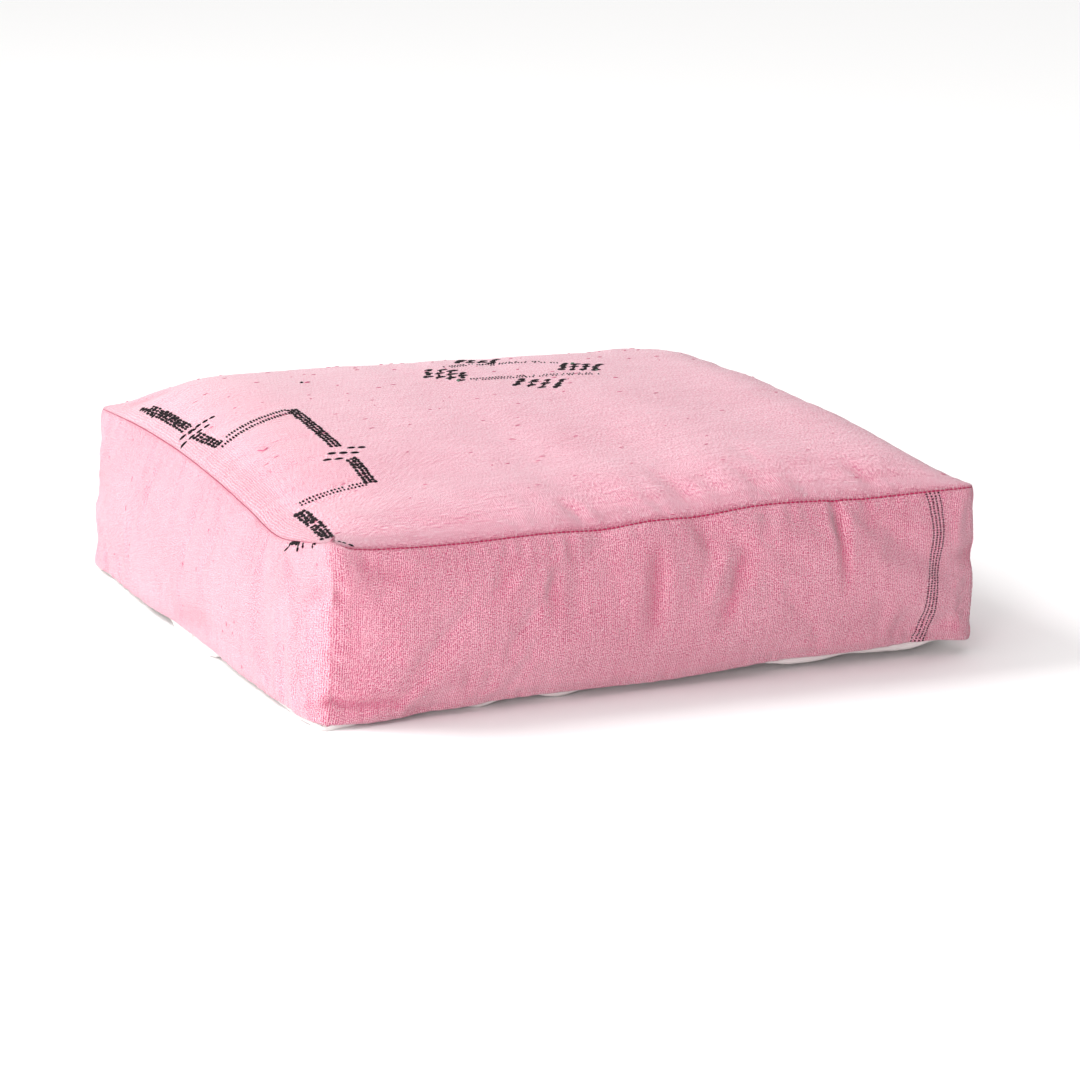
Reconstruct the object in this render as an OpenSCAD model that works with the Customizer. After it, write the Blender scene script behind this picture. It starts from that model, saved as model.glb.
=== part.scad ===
// Boxed floor cushion. A cloth cover of a top panel, four side panels and two base panels closes
// with a zip across its base, over a separate insert that holds the stuffing.
// Millimetres. The origin is the centre of the base on the floor, +Z is up and X is the width.

/* [Cover] */
// Width and depth of the cover between its corner seams
cover_w = 600; // [560:10:660]
// Height of the top seam above the floor
top_seam_h = 156; // [130:1:180]
// Height of the base seam above the floor
base_seam_h = 8; // [8:0.5:9]
// Rise of the stuffed top above the top seam
crown_h = 50; // [40:1:60]
// How far a seam is pulled in at the middle of a side
pull_in = 7; // [4:0.5:9]
// Bulge of a side panel at its middle
side_bulge = 12; // [8:1:14]
// Bulge of the side panels at a corner seam
corner_bulge = 4; // [2:0.5:5]
// Thickness of the cover cloth
cloth_t = 0.8; // [0.6:0.1:0.8]
// Width of the cloth folded inside each seam
allowance = 10; // [9:0.5:11]

/* [Insert] */
// Room between the corner seams of the cover and of the insert
insert_room = 13; // [12:0.5:16]
// Thickness of the casing cloth
casing_t = 0.6; // [0.4:0.1:0.7]

/* [Zip] */
// Length of the zip tapes
zip_len = 556; // [500:1:556]
// Height of the middle of the tapes above the floor
zip_h = 9; // [9:0.1:9.5]
// Distance from one tooth to the next
tooth_pitch = 5; // [4:0.5:8]
// Length of the pull tab
pull_len = 24; // [18:1:26]

/* [Thread] */
// Distance from one stitch to the next
stitch_pitch = 20; // [10:1:40]
// Length of one stitch
stitch_len = 6; // [4:0.5:8]
// Distance from one embroidered row to the next
row_pitch = 5; // [4:0.5:8]

/* [Hidden] */

pink = [0.85, 0.47, 0.6];
white_cotton = [0.93, 0.92, 0.9];
black_thread = [0.1, 0.09, 0.1];
half_w = cover_w / 2;
// Clear gap between two cloths that are sewn together
seam_gap = 0.3;
// Width of the fold where a panel turns in at a seam
fold_w = 2;
// The ends of a folded-in strip are cut back by this much more, so that two strips clear
mitre = 3;
// Steps of the grids that the panels are built on
top_steps = 20;
side_steps = 12;
side_rows = 8;

// ---- Shapes of the stuffed cover and insert ----

// 0 at a seam and 1 at the middle, for k from -1 to 1 across the cushion
function puff(k) = pow(max(0, 1 - pow(abs(k), 2.5)), 0.55);
// Half width of a seam line, where k is the place along the side from -1 to 1
function seam_half(k, half = half_w) = half - pull_in * (1 - k * k);
// Distance of a side panel from the middle, for k along the side and w from its foot to its top
function side_half(k, w, half = half_w, bulge = side_bulge) =
    seam_half(k, half) + (corner_bulge + (bulge - corner_bulge) * (1 - k * k)) * sin(180 * w);
function mix(a, b, w) = a + (b - a) * w;
// Steps from -1 to 1 that crowd towards both ends
function crowded(n) = [for (i = [0 : n]) sin(180 * i / n - 90)];
function even(n) = [for (i = [0 : n]) 2 * i / n - 1];
// A list with its first and last items repeated, for the strips folded in at both ends
function with_lips(list) = concat([list[0]], list, [list[len(list) - 1]]);

// ---- Solids between two grids of points ----

function strip(p, q, n) = [[p, q, q + n], [p, q + n, p + n]];

// Solid between two grids of the same size. lip_corners is how many corner cells are left out,
// where two folded-in strips would cross: none, the 2 of the first row, or all 4.
// wrap joins the last row back to the first.
module shell(outer, inner, lip_corners = 0, wrap = false) {
    rows = len(outer);
    cols = len(outer[0]);
    n = rows * cols;
    last = rows - (wrap ? 1 : 2);
    function at(i, j) = (i % rows) * cols + j;
    function cut(i, j) = (j == 0 || j == cols - 2)
        && ((lip_corners > 0 && i == 0) || (lip_corners == 4 && i == rows - 2));
    function used(i, j) = j >= 0 && j < cols - 1 && (wrap || (i >= 0 && i <= last)) && !cut(i, j);
    sheets = [for (i = [0 : last], j = [0 : cols - 2]) if (used(i, j))
        let (a = at(i, j), b = at(i + 1, j), c = at(i + 1, j + 1), d = at(i, j + 1))
        each [[a, d, c], [a, c, b], [a + n, b + n, c + n], [a + n, c + n, d + n]]];
    walls = [for (i = [0 : last], j = [0 : cols - 2]) if (used(i, j))
        let (a = at(i, j), b = at(i + 1, j), c = at(i + 1, j + 1), d = at(i, j + 1))
        each concat(
            used(i, j - 1) ? [] : strip(a, b, n),
            used(i + 1, j) ? [] : strip(b, c, n),
            used(i, j + 1) ? [] : strip(c, d, n),
            used(i - 1, j) ? [] : strip(d, a, n)
        )];
    polyhedron(
        points = concat([for (row = outer) each row], [for (row = inner) each row]),
        faces = concat(sheets, walls)
    );
}

// ---- Cover panels ----

top_z = top_seam_h + seam_gap / 2;
function top_height(u, v) = top_z + crown_h * puff(u) * puff(v);

// One point of the top panel. lip_x and lip_y say that the point is on a folded-in strip.
function top_point(u, v, lip_x, lip_y) =
    let (in_x = lip_x ? allowance : lip_y ? allowance + mitre : 0)
    let (in_y = lip_y ? allowance : lip_x ? allowance + mitre : 0)
    [u * (seam_half(v) - in_x), v * (seam_half(u) - in_y), lip_x || lip_y ? top_z : top_height(u, v)];

function top_inner(u, v, lip_x, lip_y, edge) =
    let (lip_top = top_z + cloth_t)
    let (p = top_point(u, v, lip_x, lip_y))
    let (s = puff(u) * puff(v))
    lip_x || lip_y ? [p.x, p.y, lip_top]
    : edge ? [u * (seam_half(v) - fold_w), v * (seam_half(u) - fold_w), lip_top]
    : [u * (seam_half(v) - cloth_t), v * (seam_half(u) - cloth_t),
        max(lip_top + 0.1, p.z - cloth_t * mix(0.3, 1, s))];

module top_panel() {
    k = with_lips(crowded(top_steps));
    n = len(k);
    function lip(i) = i == 0 || i == n - 1;
    function edge(i) = i == 1 || i == n - 2;
    color(pink) shell(
        [for (i = [0 : n - 1]) [for (j = [0 : n - 1]) top_point(k[i], k[j], lip(i), lip(j))]],
        [for (i = [0 : n - 1]) [for (j = [0 : n - 1])
            top_inner(k[i], k[j], lip(i), lip(j), edge(i) || edge(j))]],
        lip_corners = 4
    );
}

// One side panel, facing -Y. Its four edges are folded in along the seams.
module side_panel() {
    along = with_lips(even(side_steps));
    up = [for (w = with_lips(even(side_rows))) (w + 1) / 2];
    ni = len(along);
    nj = len(up);
    low = base_seam_h + seam_gap / 2;
    high = top_seam_h - seam_gap / 2;
    end_gap = 0.2;
    // Folding at a corner takes the inner face back by this much
    turn = 2.4 * cloth_t;
    reach = allowance - 1;
    function corner(w) = side_half(1, w) - end_gap;
    function outer(k, w, lip_i, lip_j) =
        lip_j ? [k * (corner(w) - allowance - mitre), allowance - seam_half(k), mix(low, high, w)]
        : lip_i ? [k * (corner(w) - reach), reach - side_half(1, w), mix(low + mitre, high - mitre, w)]
        : [k * corner(w), -side_half(k, w), mix(low, high, w)];
    function inner(k, w, lip_i, lip_j) =
        let (p = outer(k, w, lip_i, lip_j))
        lip_j ? [p.x, p.y, p.z + (w < 0.5 ? cloth_t : -cloth_t)]
        : lip_i ? [p.x - k * cloth_t * sqrt(2), p.y, p.z]
        : [k * (corner(w) - turn), p.y + cloth_t, mix(low + 1.5 * cloth_t, high - 1.5 * cloth_t, w)];
    shell(
        [for (i = [0 : ni - 1]) [for (j = [0 : nj - 1])
            outer(along[i], up[j], i == 0 || i == ni - 1, j == 0 || j == nj - 1)]],
        [for (i = [0 : ni - 1]) [for (j = [0 : nj - 1])
            inner(along[i], up[j], i == 0 || i == ni - 1, j == 0 || j == nj - 1)]],
        lip_corners = 4
    );
}

module side_panel_front() { color(pink) side_panel(); }
module side_panel_right() { color(pink) rotate(90) side_panel(); }
module side_panel_back() { color(pink) rotate(180) side_panel(); }
module side_panel_left() { color(pink) rotate(-90) side_panel(); }

// The base is flat on the floor, apart from a rim that rises to the seam and a valley at the zip
rim_w = 45;
valley_w = 60;
valley_h = base_seam_h - 0.6;
zip_slot = 7;
function rim_rise(k) = pow(max(0, 1 - (1 - abs(k)) * half_w / rim_w), 3);
function valley_rise(y) = abs(y) >= valley_w ? 0 : pow(cos(90 * y / valley_w), 2);
// The valley runs out before the side seams. ends is 1 for that, and 0 for one that goes right through.
valley_fade_x = 262;
valley_fade_w = 20;
function valley_end(k, ends) = 1 - ends * min(1, max(0, (abs(k) * half_w - valley_fade_x) / valley_fade_w));
function base_height(u, v, seam_h = base_seam_h, mid_h = valley_h, ends = 1) =
    let (valley = mid_h / seam_h * valley_rise(v * half_w) * valley_end(u, ends))
    seam_h * (1 - (1 - rim_rise(u)) * (1 - rim_rise(v)) * (1 - valley));
rim_steps = [0, 5, 12, 22, 34, rim_w];
valley_steps = [valley_w, 50, 42, 34, 26, 18, 12];
base_across = concat(
    [for (d = rim_steps) d / half_w - 1],
    [for (i = [len(rim_steps) - 1 : -1 : 0]) 1 - rim_steps[i] / half_w]
);
base_along = concat([for (d = rim_steps) d / half_w - 1], [for (y = valley_steps) -y / half_w]);

// Half the opening between the two base panels: open over the zip, closed at its two ends
slot_end_half = 0.2;
slot_end_w = 10;
function slot_half(x) =
    mix(zip_slot, slot_end_half, min(1, max(0, (abs(x) - zip_len / 2) / slot_end_w + 1)));

// One base panel, on the -Y side of the zip
module base_panel() {
    across = with_lips(base_across);
    along = concat([-1], base_along, [0]);
    ni = len(along);
    nj = len(across);
    high = base_seam_h - seam_gap / 2;
    // lip_y is the strip along the outer edge, lip_x the strip at either end
    function outer(v, u, lip_y, lip_x, edge, zip_edge) =
        let (in_x = lip_x ? allowance : lip_y ? allowance + mitre : 0)
        let (in_y = lip_y ? allowance : lip_x && v < -0.9 ? allowance + mitre : 0)
        let (x = u * (seam_half(v) - in_x))
        [x, zip_edge ? -slot_half(x) : v * (seam_half(u) - in_y),
            lip_x || lip_y || edge ? high : base_height(u, zip_edge ? -zip_slot / half_w : v)];
    function inner(v, u, lip_y, lip_x, edge, zip_edge) =
        let (p = outer(v, u, lip_y, lip_x, edge, zip_edge))
        lip_x || lip_y ? [p.x, p.y, high - cloth_t]
        : edge ? [u * (seam_half(v) - fold_w), zip_edge ? p.y : v * (seam_half(u) - fold_w), high - cloth_t]
        : [p.x, p.y, p.z + cloth_t];
    function on_edge(i, j) = i == 1 || j == 1 || j == nj - 2;
    function ring(i, j) = [i == 0, j == 0 || j == nj - 1, on_edge(i, j), i == ni - 1];
    shell(
        [for (i = [0 : ni - 1]) [for (j = [0 : nj - 1]) let (r = ring(i, j))
            outer(along[i], across[j], r[0], r[1], r[2], r[3])]],
        [for (i = [0 : ni - 1]) [for (j = [0 : nj - 1]) let (r = ring(i, j))
            inner(along[i], across[j], r[0], r[1], r[2], r[3])]],
        lip_corners = 2
    );
}

module base_panel_front() { color(white_cotton) base_panel(); }
module base_panel_back() { color(white_cotton) rotate(180) base_panel(); }

// ---- Stitching of the cover ----

// Bars along one seam line of the side that faces -Y, each through both folded-in strips
module seam_stitches(z) {
    inset = 5;
    count = floor((cover_w - 2 * allowance - 2 * mitre) / stitch_pitch / 2);
    for (i = [-count : count])
        let (x = i * stitch_pitch)
        translate([x, inset - seam_half(x / half_w), z])
            cube([stitch_len, 0.6, 2 * cloth_t + seam_gap + 0.8], center = true);
}

module top_seam_stitching() {
    color(pink) for (side = [0 : 3]) rotate(90 * side) seam_stitches(top_seam_h);
}

module base_seam_stitching() {
    color(white_cotton) for (side = [0 : 3]) rotate(90 * side) seam_stitches(base_seam_h);
}

module corner_seam_stitching() {
    inset = 5;
    count = floor((top_seam_h - base_seam_h) / stitch_pitch) - 1;
    start = base_seam_h + (top_seam_h - base_seam_h - (count - 1) * stitch_pitch) / 2;
    color(pink) for (side = [0 : 3], i = [0 : count - 1])
        let (z = start + i * stitch_pitch)
        let (c = side_half(1, (z - base_seam_h) / (top_seam_h - base_seam_h)) - inset)
        rotate(90 * side) translate([c, -c, z]) rotate(45)
            cube([2 * cloth_t + seam_gap + 1.2, 0.6, stitch_len], center = true);
}

// ---- Embroidery ----

// Height of the top at a place in plan
function cloth_z(x, y) = top_height(x / seam_half(y / half_w), y / seam_half(x / half_w));

// One float of thread on the top, long along X and wide along Y, at a place in plan that is
// measured from the front left corner. It is sewn in: its lower part is in the cloth.
module top_float(s, t, long, wide) {
    x = s - half_w;
    y = t - half_w;
    rise_x = atan((cloth_z(x + 1, y) - cloth_z(x - 1, y)) / 2);
    rise_y = atan((cloth_z(x, y + 1) - cloth_z(x, y - 1)) / 2);
    translate([x, y, cloth_z(x, y)]) rotate([rise_y, -rise_x, 0])
        cube([long, wide, 1.2], center = true);
}

// The band turns between two lines along the left edge of the top
zig_near = 16;
zig_far = 96;
zig_turns = [12, 147, 350, 524];
band_w = 11;
function zig_line(k) = k % 2 == 0 ? zig_near : zig_far;

module zigzag_embroidery() {
    cross_w = 44;
    crosses = [[zig_far, 221], [zig_near, 394]];
    color(black_thread) {
        for (k = [0 : 2], t = [zig_turns[k] + row_pitch : row_pitch : zig_turns[k + 1] - row_pitch])
            top_float(zig_line(k), t, band_w, 3);
        for (k = [1 : 3], s = [zig_near : row_pitch : zig_far])
            top_float(s, zig_turns[k], 3, 5);
        for (c = crosses, side = [-1, 1])
            let (arm = min((cross_w - band_w) / 2 - 1, side < 0 ? c.x - band_w / 2 - 4 : cross_w))
            top_float(c.x + side * (band_w + 1 + arm) / 2, c.y, arm, 6);
    }
}

// A comb of upright floats in two rows either side of a spine
module comb(s, t) {
    teeth = 5;
    pitch = 8;
    tooth = 13;
    for (i = [0 : teeth - 1], row = [-1, 1])
        top_float(s + (i - (teeth - 1) / 2) * pitch, t + row * (tooth / 2 + 3), 3.5, tooth);
    for (i = [0 : teeth - 1])
        top_float(s + (i - (teeth - 1) / 2) * pitch, t, 5, 3);
}

// Four combs round two thin lines
diamond_combs = [[270, 418], [340, 350], [329, 470], [405, 404]];
diamond_lines = [[290, 385, 378], [292, 380, 440]];

module diamond_embroidery() {
    color(black_thread) {
        for (c = diamond_combs) comb(c.x, c.y);
        for (line = diamond_lines, s = [line[0] : 6 : line[1]]) top_float(s, line[2], 4, 4);
    }
}

module green_knots() {
    color([0.2, 0.45, 0.3]) for (c = [diamond_combs[0], diamond_combs[3]])
        top_float(c.x - 4, c.y - 24, 6, 3);
}

// One float on the side panel that faces -Y, at a place along X and a height
module side_float(x, z, long, high, turn = 0) {
    w = (z - base_seam_h) / (top_seam_h - base_seam_h);
    lean = atan((side_half(x / half_w, w + 0.01) - side_half(x / half_w, w - 0.01))
        / 0.02 / (top_seam_h - base_seam_h));
    translate([x, -side_half(x / half_w, w), z]) rotate([lean, turn, 0])
        cube([long, 1.2, high], center = true);
}

// Each hook is its distance from the front left corner, its depth below the top seam, its length
// and how far it is turned
hooks = [[88, 13, 13, 35], [66, 13, 13, -35], [31, 12, 8, 0]];
hook_w = 2.5;

module hook_embroidery() {
    color(black_thread) rotate(-90) for (hook = hooks)
        side_float(half_w - hook[0], top_seam_h - hook[1], hook_w, hook[2], hook[3]);
}

module dot_stripe_embroidery() {
    columns = 4;
    column_pitch = 4.5;
    dot_pitch = 6;
    stripe_in = 45;
    rows = floor((top_seam_h - base_seam_h) / dot_pitch) - 1;
    color(black_thread) for (i = [0 : columns - 1], j = [1 : rows])
        side_float(half_w - stripe_in + i * column_pitch, base_seam_h + dot_pitch * j, 2, 2.4);
}

// ---- Zip ----

tape_t = 0.8;
tape_edge = 1.6;
tape_w = 17;
teeth_half = 3;
tooth_tip = 0.65;
tooth_h = 2.4;
tooth_len = 2.6;
// Distances in from the ends of the tape, at the bottom end and at the top end
first_tooth_in = 24;
last_tooth_in = 22;
bottom_stop_in = 17;
top_stop_in = 16;
slider_in = 26;
stop_len = 4;
stop_extra = 0.8;
slider_len = 12;
slider_x = zip_len / 2 - slider_in;

module tape() {
    translate([-zip_len / 2, tape_edge, zip_h - tape_t / 2]) cube([zip_len, tape_w, tape_t]);
}

// Teeth on the tape of the +Y side, shifted along the zip
module teeth(shift) {
    first = first_tooth_in + shift - zip_len / 2;
    for (x = [first : tooth_pitch : zip_len / 2 - last_tooth_in])
        translate([x, (teeth_half + tooth_tip) / 2, zip_h])
            cube([tooth_len, teeth_half - tooth_tip, tooth_h], center = true);
}

module zip_tape_front() { color(white_cotton) mirror([0, 1, 0]) tape(); }
module zip_tape_back() { color(white_cotton) tape(); }
module zip_teeth_front() { color("white") mirror([0, 1, 0]) teeth(0); }
module zip_teeth_back() { color("white") teeth(tooth_pitch / 2); }

module zip_top_stops() {
    color("white") for (side = [-1, 1])
        translate([zip_len / 2 - top_stop_in, side * (teeth_half + tooth_tip) / 2, zip_h])
            cube([stop_len, teeth_half - tooth_tip, tooth_h + stop_extra], center = true);
}

module zip_bottom_stop() {
    color("white") translate([bottom_stop_in - zip_len / 2, 0, zip_h])
        cube([1.5 * stop_len, 2 * teeth_half + stop_extra, tooth_h + stop_extra], center = true);
}

// Rows of stitches through each base panel and its tape
module zip_stitching() {
    row_y = 12;
    proud = 0.3;
    count = floor((zip_len / 2 - top_stop_in) / stitch_pitch);
    foot = base_height(0, -row_y / half_w) - proud;
    top = zip_h + tape_t / 2 + proud;
    color(white_cotton) for (side = [-1, 1], i = [-count : count])
        translate([i * stitch_pitch, side * row_y, (foot + top) / 2])
            cube([stitch_len, 0.6, top - foot], center = true);
}

plate_in = tooth_h / 2 + 0.4;
plate_t = 1.2;
slider_half = 4.8;
// The bar that the pull hangs on, under the slider
bar_drop = 2.3;
bar_r = 0.9;
bar_z = zip_h - plate_in - plate_t - bar_drop;
lug_in = 2.6;
lug_t = 1;
lug_len = 4;
rail_w = 1.2;
divider_len = 3;
divider_t = 0.6;
// How far the rails, the divider and the lugs run into the plates
bite = 0.2;

module zip_slider_body() {
    color("silver") translate([slider_x, 0, 0]) {
        for (side = [-1, 1]) {
            translate([0, 0, zip_h + side * (plate_in + plate_t / 2)])
                cube([slider_len, 2 * slider_half, plate_t], center = true);
            for (edge = [-1, 1])
                translate([0, edge * (slider_half - rail_w / 2), zip_h + side * (plate_in - bite)])
                    cube([slider_len, rail_w, rail_w], center = true);
        }
        // The divider runs between the two rows of teeth
        translate([(slider_len - divider_len) / 2, 0, zip_h])
            cube([divider_len, divider_t, 2 * (plate_in + bite)], center = true);
        for (side = [-1, 1])
            translate([-lug_len / 2, side * (lug_in + lug_t / 2) - lug_t / 2, bar_z - bar_r - 2 * bite])
                cube([lug_len, lug_t, bar_drop + bar_r + 4 * bite]);
        translate([0, 0, bar_z]) rotate([90, 0, 0])
            cylinder(r = bar_r, h = 2 * lug_in + lug_t, center = true, $fn = 32);
    }
}

// The pull hangs from the bar and droops towards the floor
pull_droop = 6;
pull_eye_r = 1.9;
pull_w = 8;
pull_t = 1.2;
neck = 5;
// Gap between the pull and the lug at each side, and between its eye and the bar
lug_gap = 0.4;
eye_play = 0.35;

module zip_pull_tab() {
    eye_half = lug_in - lug_gap;
    color("silver") translate([slider_x, 0, bar_z]) rotate([0, -pull_droop, 0]) difference() {
        union() {
            rotate([90, 0, 0]) cylinder(r = pull_eye_r, h = 2 * eye_half, center = true, $fn = 32);
            translate([-neck - pull_t, -eye_half, -pull_t / 2]) cube([neck + pull_t, 2 * eye_half, pull_t]);
            translate([-pull_len, -pull_w / 2, -pull_t / 2]) cube([pull_len - neck, pull_w, pull_t]);
        }
        rotate([90, 0, 0]) cylinder(r = bar_r + eye_play, h = pull_w, center = true, $fn = 32);
    }
}

// ---- Insert ----

insert_seam_in = 6;
insert_half = half_w - insert_room;
insert_top_seam = top_seam_h - insert_seam_in;
insert_crown = crown_h + insert_seam_in / 2;
insert_base_seam = base_seam_h + insert_seam_in;
insert_bulge = side_bulge + insert_seam_in;
insert_lift = 2;
insert_steps = 14;

// Grid of the top or the foot of the insert, drawn in by a distance from its outside.
// With a wall, a last ring of points runs out to the middle of the sides, at wall_z.
function insert_grid(height, inside, wall_z = undef) =
    let (k = is_undef(wall_z) ? crowded(insert_steps) : with_lips(crowded(insert_steps)))
    let (n = len(k))
    [for (i = [0 : n - 1]) [for (j = [0 : n - 1])
        let (ring = !is_undef(wall_z) && (i == 0 || j == 0 || i == n - 1 || j == n - 1))
        let (half_x = ring ? side_half(k[j], 0.5, insert_half, insert_bulge) : seam_half(k[j], insert_half))
        let (half_y = ring ? side_half(k[i], 0.5, insert_half, insert_bulge) : seam_half(k[i], insert_half))
        [k[i] * (half_x - inside), k[j] * (half_y - inside), ring ? wall_z : height(k[i], k[j])]]];

function insert_top(u, v, drop) = insert_top_seam + (insert_crown - drop) * puff(u) * puff(v);
function insert_foot(u, v, lift) = insert_lift + lift
    + base_height(u, v, insert_base_seam - insert_lift, insert_base_seam - insert_lift - 1, 0);

module insert_casing_top() {
    color(white_cotton) shell(
        insert_grid(function (u, v) insert_top(u, v, 0) + casing_t, 0),
        insert_grid(function (u, v) insert_top(u, v, 0), casing_t)
    );
}

module insert_casing_bottom() {
    color(white_cotton) shell(
        insert_grid(function (u, v) insert_foot(u, v, casing_t), 0),
        insert_grid(function (u, v) insert_foot(u, v, 0), 0)
    );
}

module insert_gusset() {
    k = even(side_steps);
    foot = insert_base_seam + casing_t + 0.3;
    top = insert_top_seam - 0.3;
    // One point of the strip, on side 0 to 3 of the insert
    function turned(p, side) = [for (q = [[p.x, p.y], [-p.y, p.x], [-p.x, -p.y], [p.y, -p.x]]) q][side];
    function wall(k, w, inside) = [k * (side_half(1, w, insert_half, insert_bulge) - inside),
        inside - side_half(k, w, insert_half, insert_bulge)];
    function grid(inside) = [for (side = [0 : 3], i = [0 : side_steps - 1]) [for (j = [0 : side_rows])
        let (p = turned(wall(k[i], j / side_rows, inside), side))
        [p.x, p.y, mix(foot, top, j / side_rows)]]];
    color(white_cotton) shell(grid(0), grid(casing_t), wrap = true);
}

// Overlock stitches across the two seams of the insert
module insert_stitching() {
    count = floor(insert_half / stitch_pitch / 2) - 1;
    heights = [insert_base_seam + 0.4, insert_top_seam];
    color(white_cotton) for (side = [0 : 3], i = [-count : count], z = heights)
        let (x = 2 * i * stitch_pitch)
        rotate(90 * side) translate([x, casing_t / 2 - seam_half(x / insert_half, insert_half), z])
            cube([1, 1.2, 3.4], center = true);
}

module insert_fill() {
    clear = casing_t + 0.6;
    middle = (insert_base_seam + insert_top_seam) / 2;
    color("white") shell(
        insert_grid(function (u, v) insert_top(u, v, 2) - 1, clear, middle + 1),
        insert_grid(function (u, v) insert_foot(u, v, casing_t + 1), clear, middle - 1)
    );
}

top_panel();
side_panel_front();
side_panel_right();
side_panel_back();
side_panel_left();
base_panel_front();
base_panel_back();
top_seam_stitching();
base_seam_stitching();
corner_seam_stitching();
zigzag_embroidery();
diamond_embroidery();
green_knots();
hook_embroidery();
dot_stripe_embroidery();
zip_tape_front();
zip_tape_back();
zip_teeth_front();
zip_teeth_back();
zip_top_stops();
zip_bottom_stop();
zip_stitching();
zip_slider_body();
zip_pull_tab();
insert_casing_top();
insert_casing_bottom();
insert_gusset();
insert_stitching();
insert_fill();
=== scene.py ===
"""Looks of the boxed floor cushion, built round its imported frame. Metres, +Z up.

The cover is one closed lattice that is stuffed by a cloth simulation. Each panel is then drawn
finely over its part of the lattice, and the thread, slubs and folds are laid on that surface."""
import math
from functools import partial

import bpy
import numpy as np
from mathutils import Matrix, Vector


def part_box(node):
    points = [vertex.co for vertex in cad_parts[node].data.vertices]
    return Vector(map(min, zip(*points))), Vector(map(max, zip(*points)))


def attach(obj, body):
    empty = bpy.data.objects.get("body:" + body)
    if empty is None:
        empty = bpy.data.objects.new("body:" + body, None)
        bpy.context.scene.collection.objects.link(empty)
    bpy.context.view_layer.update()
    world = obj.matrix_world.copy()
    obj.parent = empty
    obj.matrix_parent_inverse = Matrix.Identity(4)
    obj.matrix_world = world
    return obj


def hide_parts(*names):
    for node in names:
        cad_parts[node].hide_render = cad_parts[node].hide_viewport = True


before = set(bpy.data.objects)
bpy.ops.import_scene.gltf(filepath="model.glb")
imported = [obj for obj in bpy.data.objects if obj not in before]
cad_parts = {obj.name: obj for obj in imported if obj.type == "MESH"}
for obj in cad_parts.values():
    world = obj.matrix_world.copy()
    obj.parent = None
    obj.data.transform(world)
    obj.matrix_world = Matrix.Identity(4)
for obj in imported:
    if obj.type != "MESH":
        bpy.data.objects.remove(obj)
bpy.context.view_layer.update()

# ---------------------------------------------------------------- sizes from the frame

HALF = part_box("top_panel")[1].x
TOP_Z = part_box("top_panel")[0].z
BASE_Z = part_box("side_panel_front")[0].z
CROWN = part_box("top_panel")[1].z - TOP_Z
WIDTH = 2 * HALF

# ---------------------------------------------------------------- stage, camera and light

scene = bpy.context.scene
scene.view_settings.view_transform = "Standard"


def add_object(name, data):
    obj = bpy.data.objects.new(name, data)
    scene.collection.objects.link(obj)
    return obj


def look_at(obj, place, target):
    obj.location = place
    obj.rotation_euler = (Vector(target) - Vector(place)).to_track_quat("-Z", "Y").to_euler()


def make_camera():
    azimuth, elevation, distance = math.radians(-23.1), math.radians(13.4), 4.08
    target = Vector((0, 0, 0.085))
    back = Vector((
        math.sin(azimuth) * math.cos(elevation),
        -math.cos(azimuth) * math.cos(elevation),
        math.sin(elevation),
    ))
    data = bpy.data.cameras.new("camera")
    data.lens = 150
    data.shift_x = 0.02
    data.shift_y = -0.021
    camera = add_object("camera", data)
    look_at(camera, target + distance * back, target)
    scene.camera = camera


def make_light(name, place, target, size, power, colour=(1, 1, 1)):
    data = bpy.data.lights.new(name, "AREA")
    data.shape = "DISK"
    data.size = size
    data.energy = power
    data.color = colour
    look_at(add_object(name, data), place, target)


def set_inputs(node, values):
    for name, value in values.items():
        node.inputs[name].default_value = value


def new_material(name, roughness, sheen=0, sheen_roughness=0.5, metallic=0, colour=(0.8,) * 3, gloss=0.5):
    material = bpy.data.materials.new(name)
    material.use_nodes = True
    set_inputs(material.node_tree.nodes["Principled BSDF"], {
        "Base Color": (*colour, 1),
        "Roughness": roughness,
        "Metallic": metallic,
        "Sheen Weight": sheen,
        "Sheen Roughness": sheen_roughness,
        "Specular IOR Level": gloss,
    })
    return material


SKY = 1.25
FLOOR_REACH = 12


def shade_world(tree, away, least):
    """White all round, apart from a darker part of the room in the direction away."""
    background = tree.nodes["Background"]
    place = tree.nodes.new("ShaderNodeTexCoord").outputs["Generated"]
    toward = tree.nodes.new("ShaderNodeVectorMath")
    toward.operation = "DOT_PRODUCT"
    toward.inputs[1].default_value = away
    tree.links.new(place, toward.inputs[0])
    shade = tree.nodes.new("ShaderNodeMapRange")
    shade.interpolation_type = "SMOOTHSTEP"
    tree.links.new(toward.outputs["Value"], shade.inputs["Value"])
    set_inputs(shade, {"From Min": 0.08, "From Max": 0.83, "To Min": 1.0, "To Max": least})
    tree.links.new(shade.outputs[0], background.inputs["Color"])
    background.inputs["Strength"].default_value = SKY


def make_stage():
    corners = [(x * FLOOR_REACH, y * FLOOR_REACH, 0) for x, y in ((-1, -1), (1, -1), (1, 1), (-1, 1))]
    mesh = bpy.data.meshes.new("floor")
    mesh.from_pydata(corners, [], [(0, 1, 2, 3)])
    mesh.materials.append(new_material("floor_paper", 0.9, colour=(0.95, 0.945, 0.94), gloss=0.0))
    add_object("floor", mesh)
    world = bpy.data.worlds.new("studio")
    scene.world = world
    world.use_nodes = True
    shade_world(world.node_tree, (0.64, -0.75, 0.13), 0.06)
    make_light("key", (-2.1, 1.3, 2.5), (0, 0, 0.1), 1.5, 80)
    make_light("low_fill", (-1.7, -2.4, 0.5), (0, 0, 0.12), 1.1, 44, (1, 0.84, 0.89))


make_camera()
make_stage()

# ---------------------------------------------------------------- materials


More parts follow.
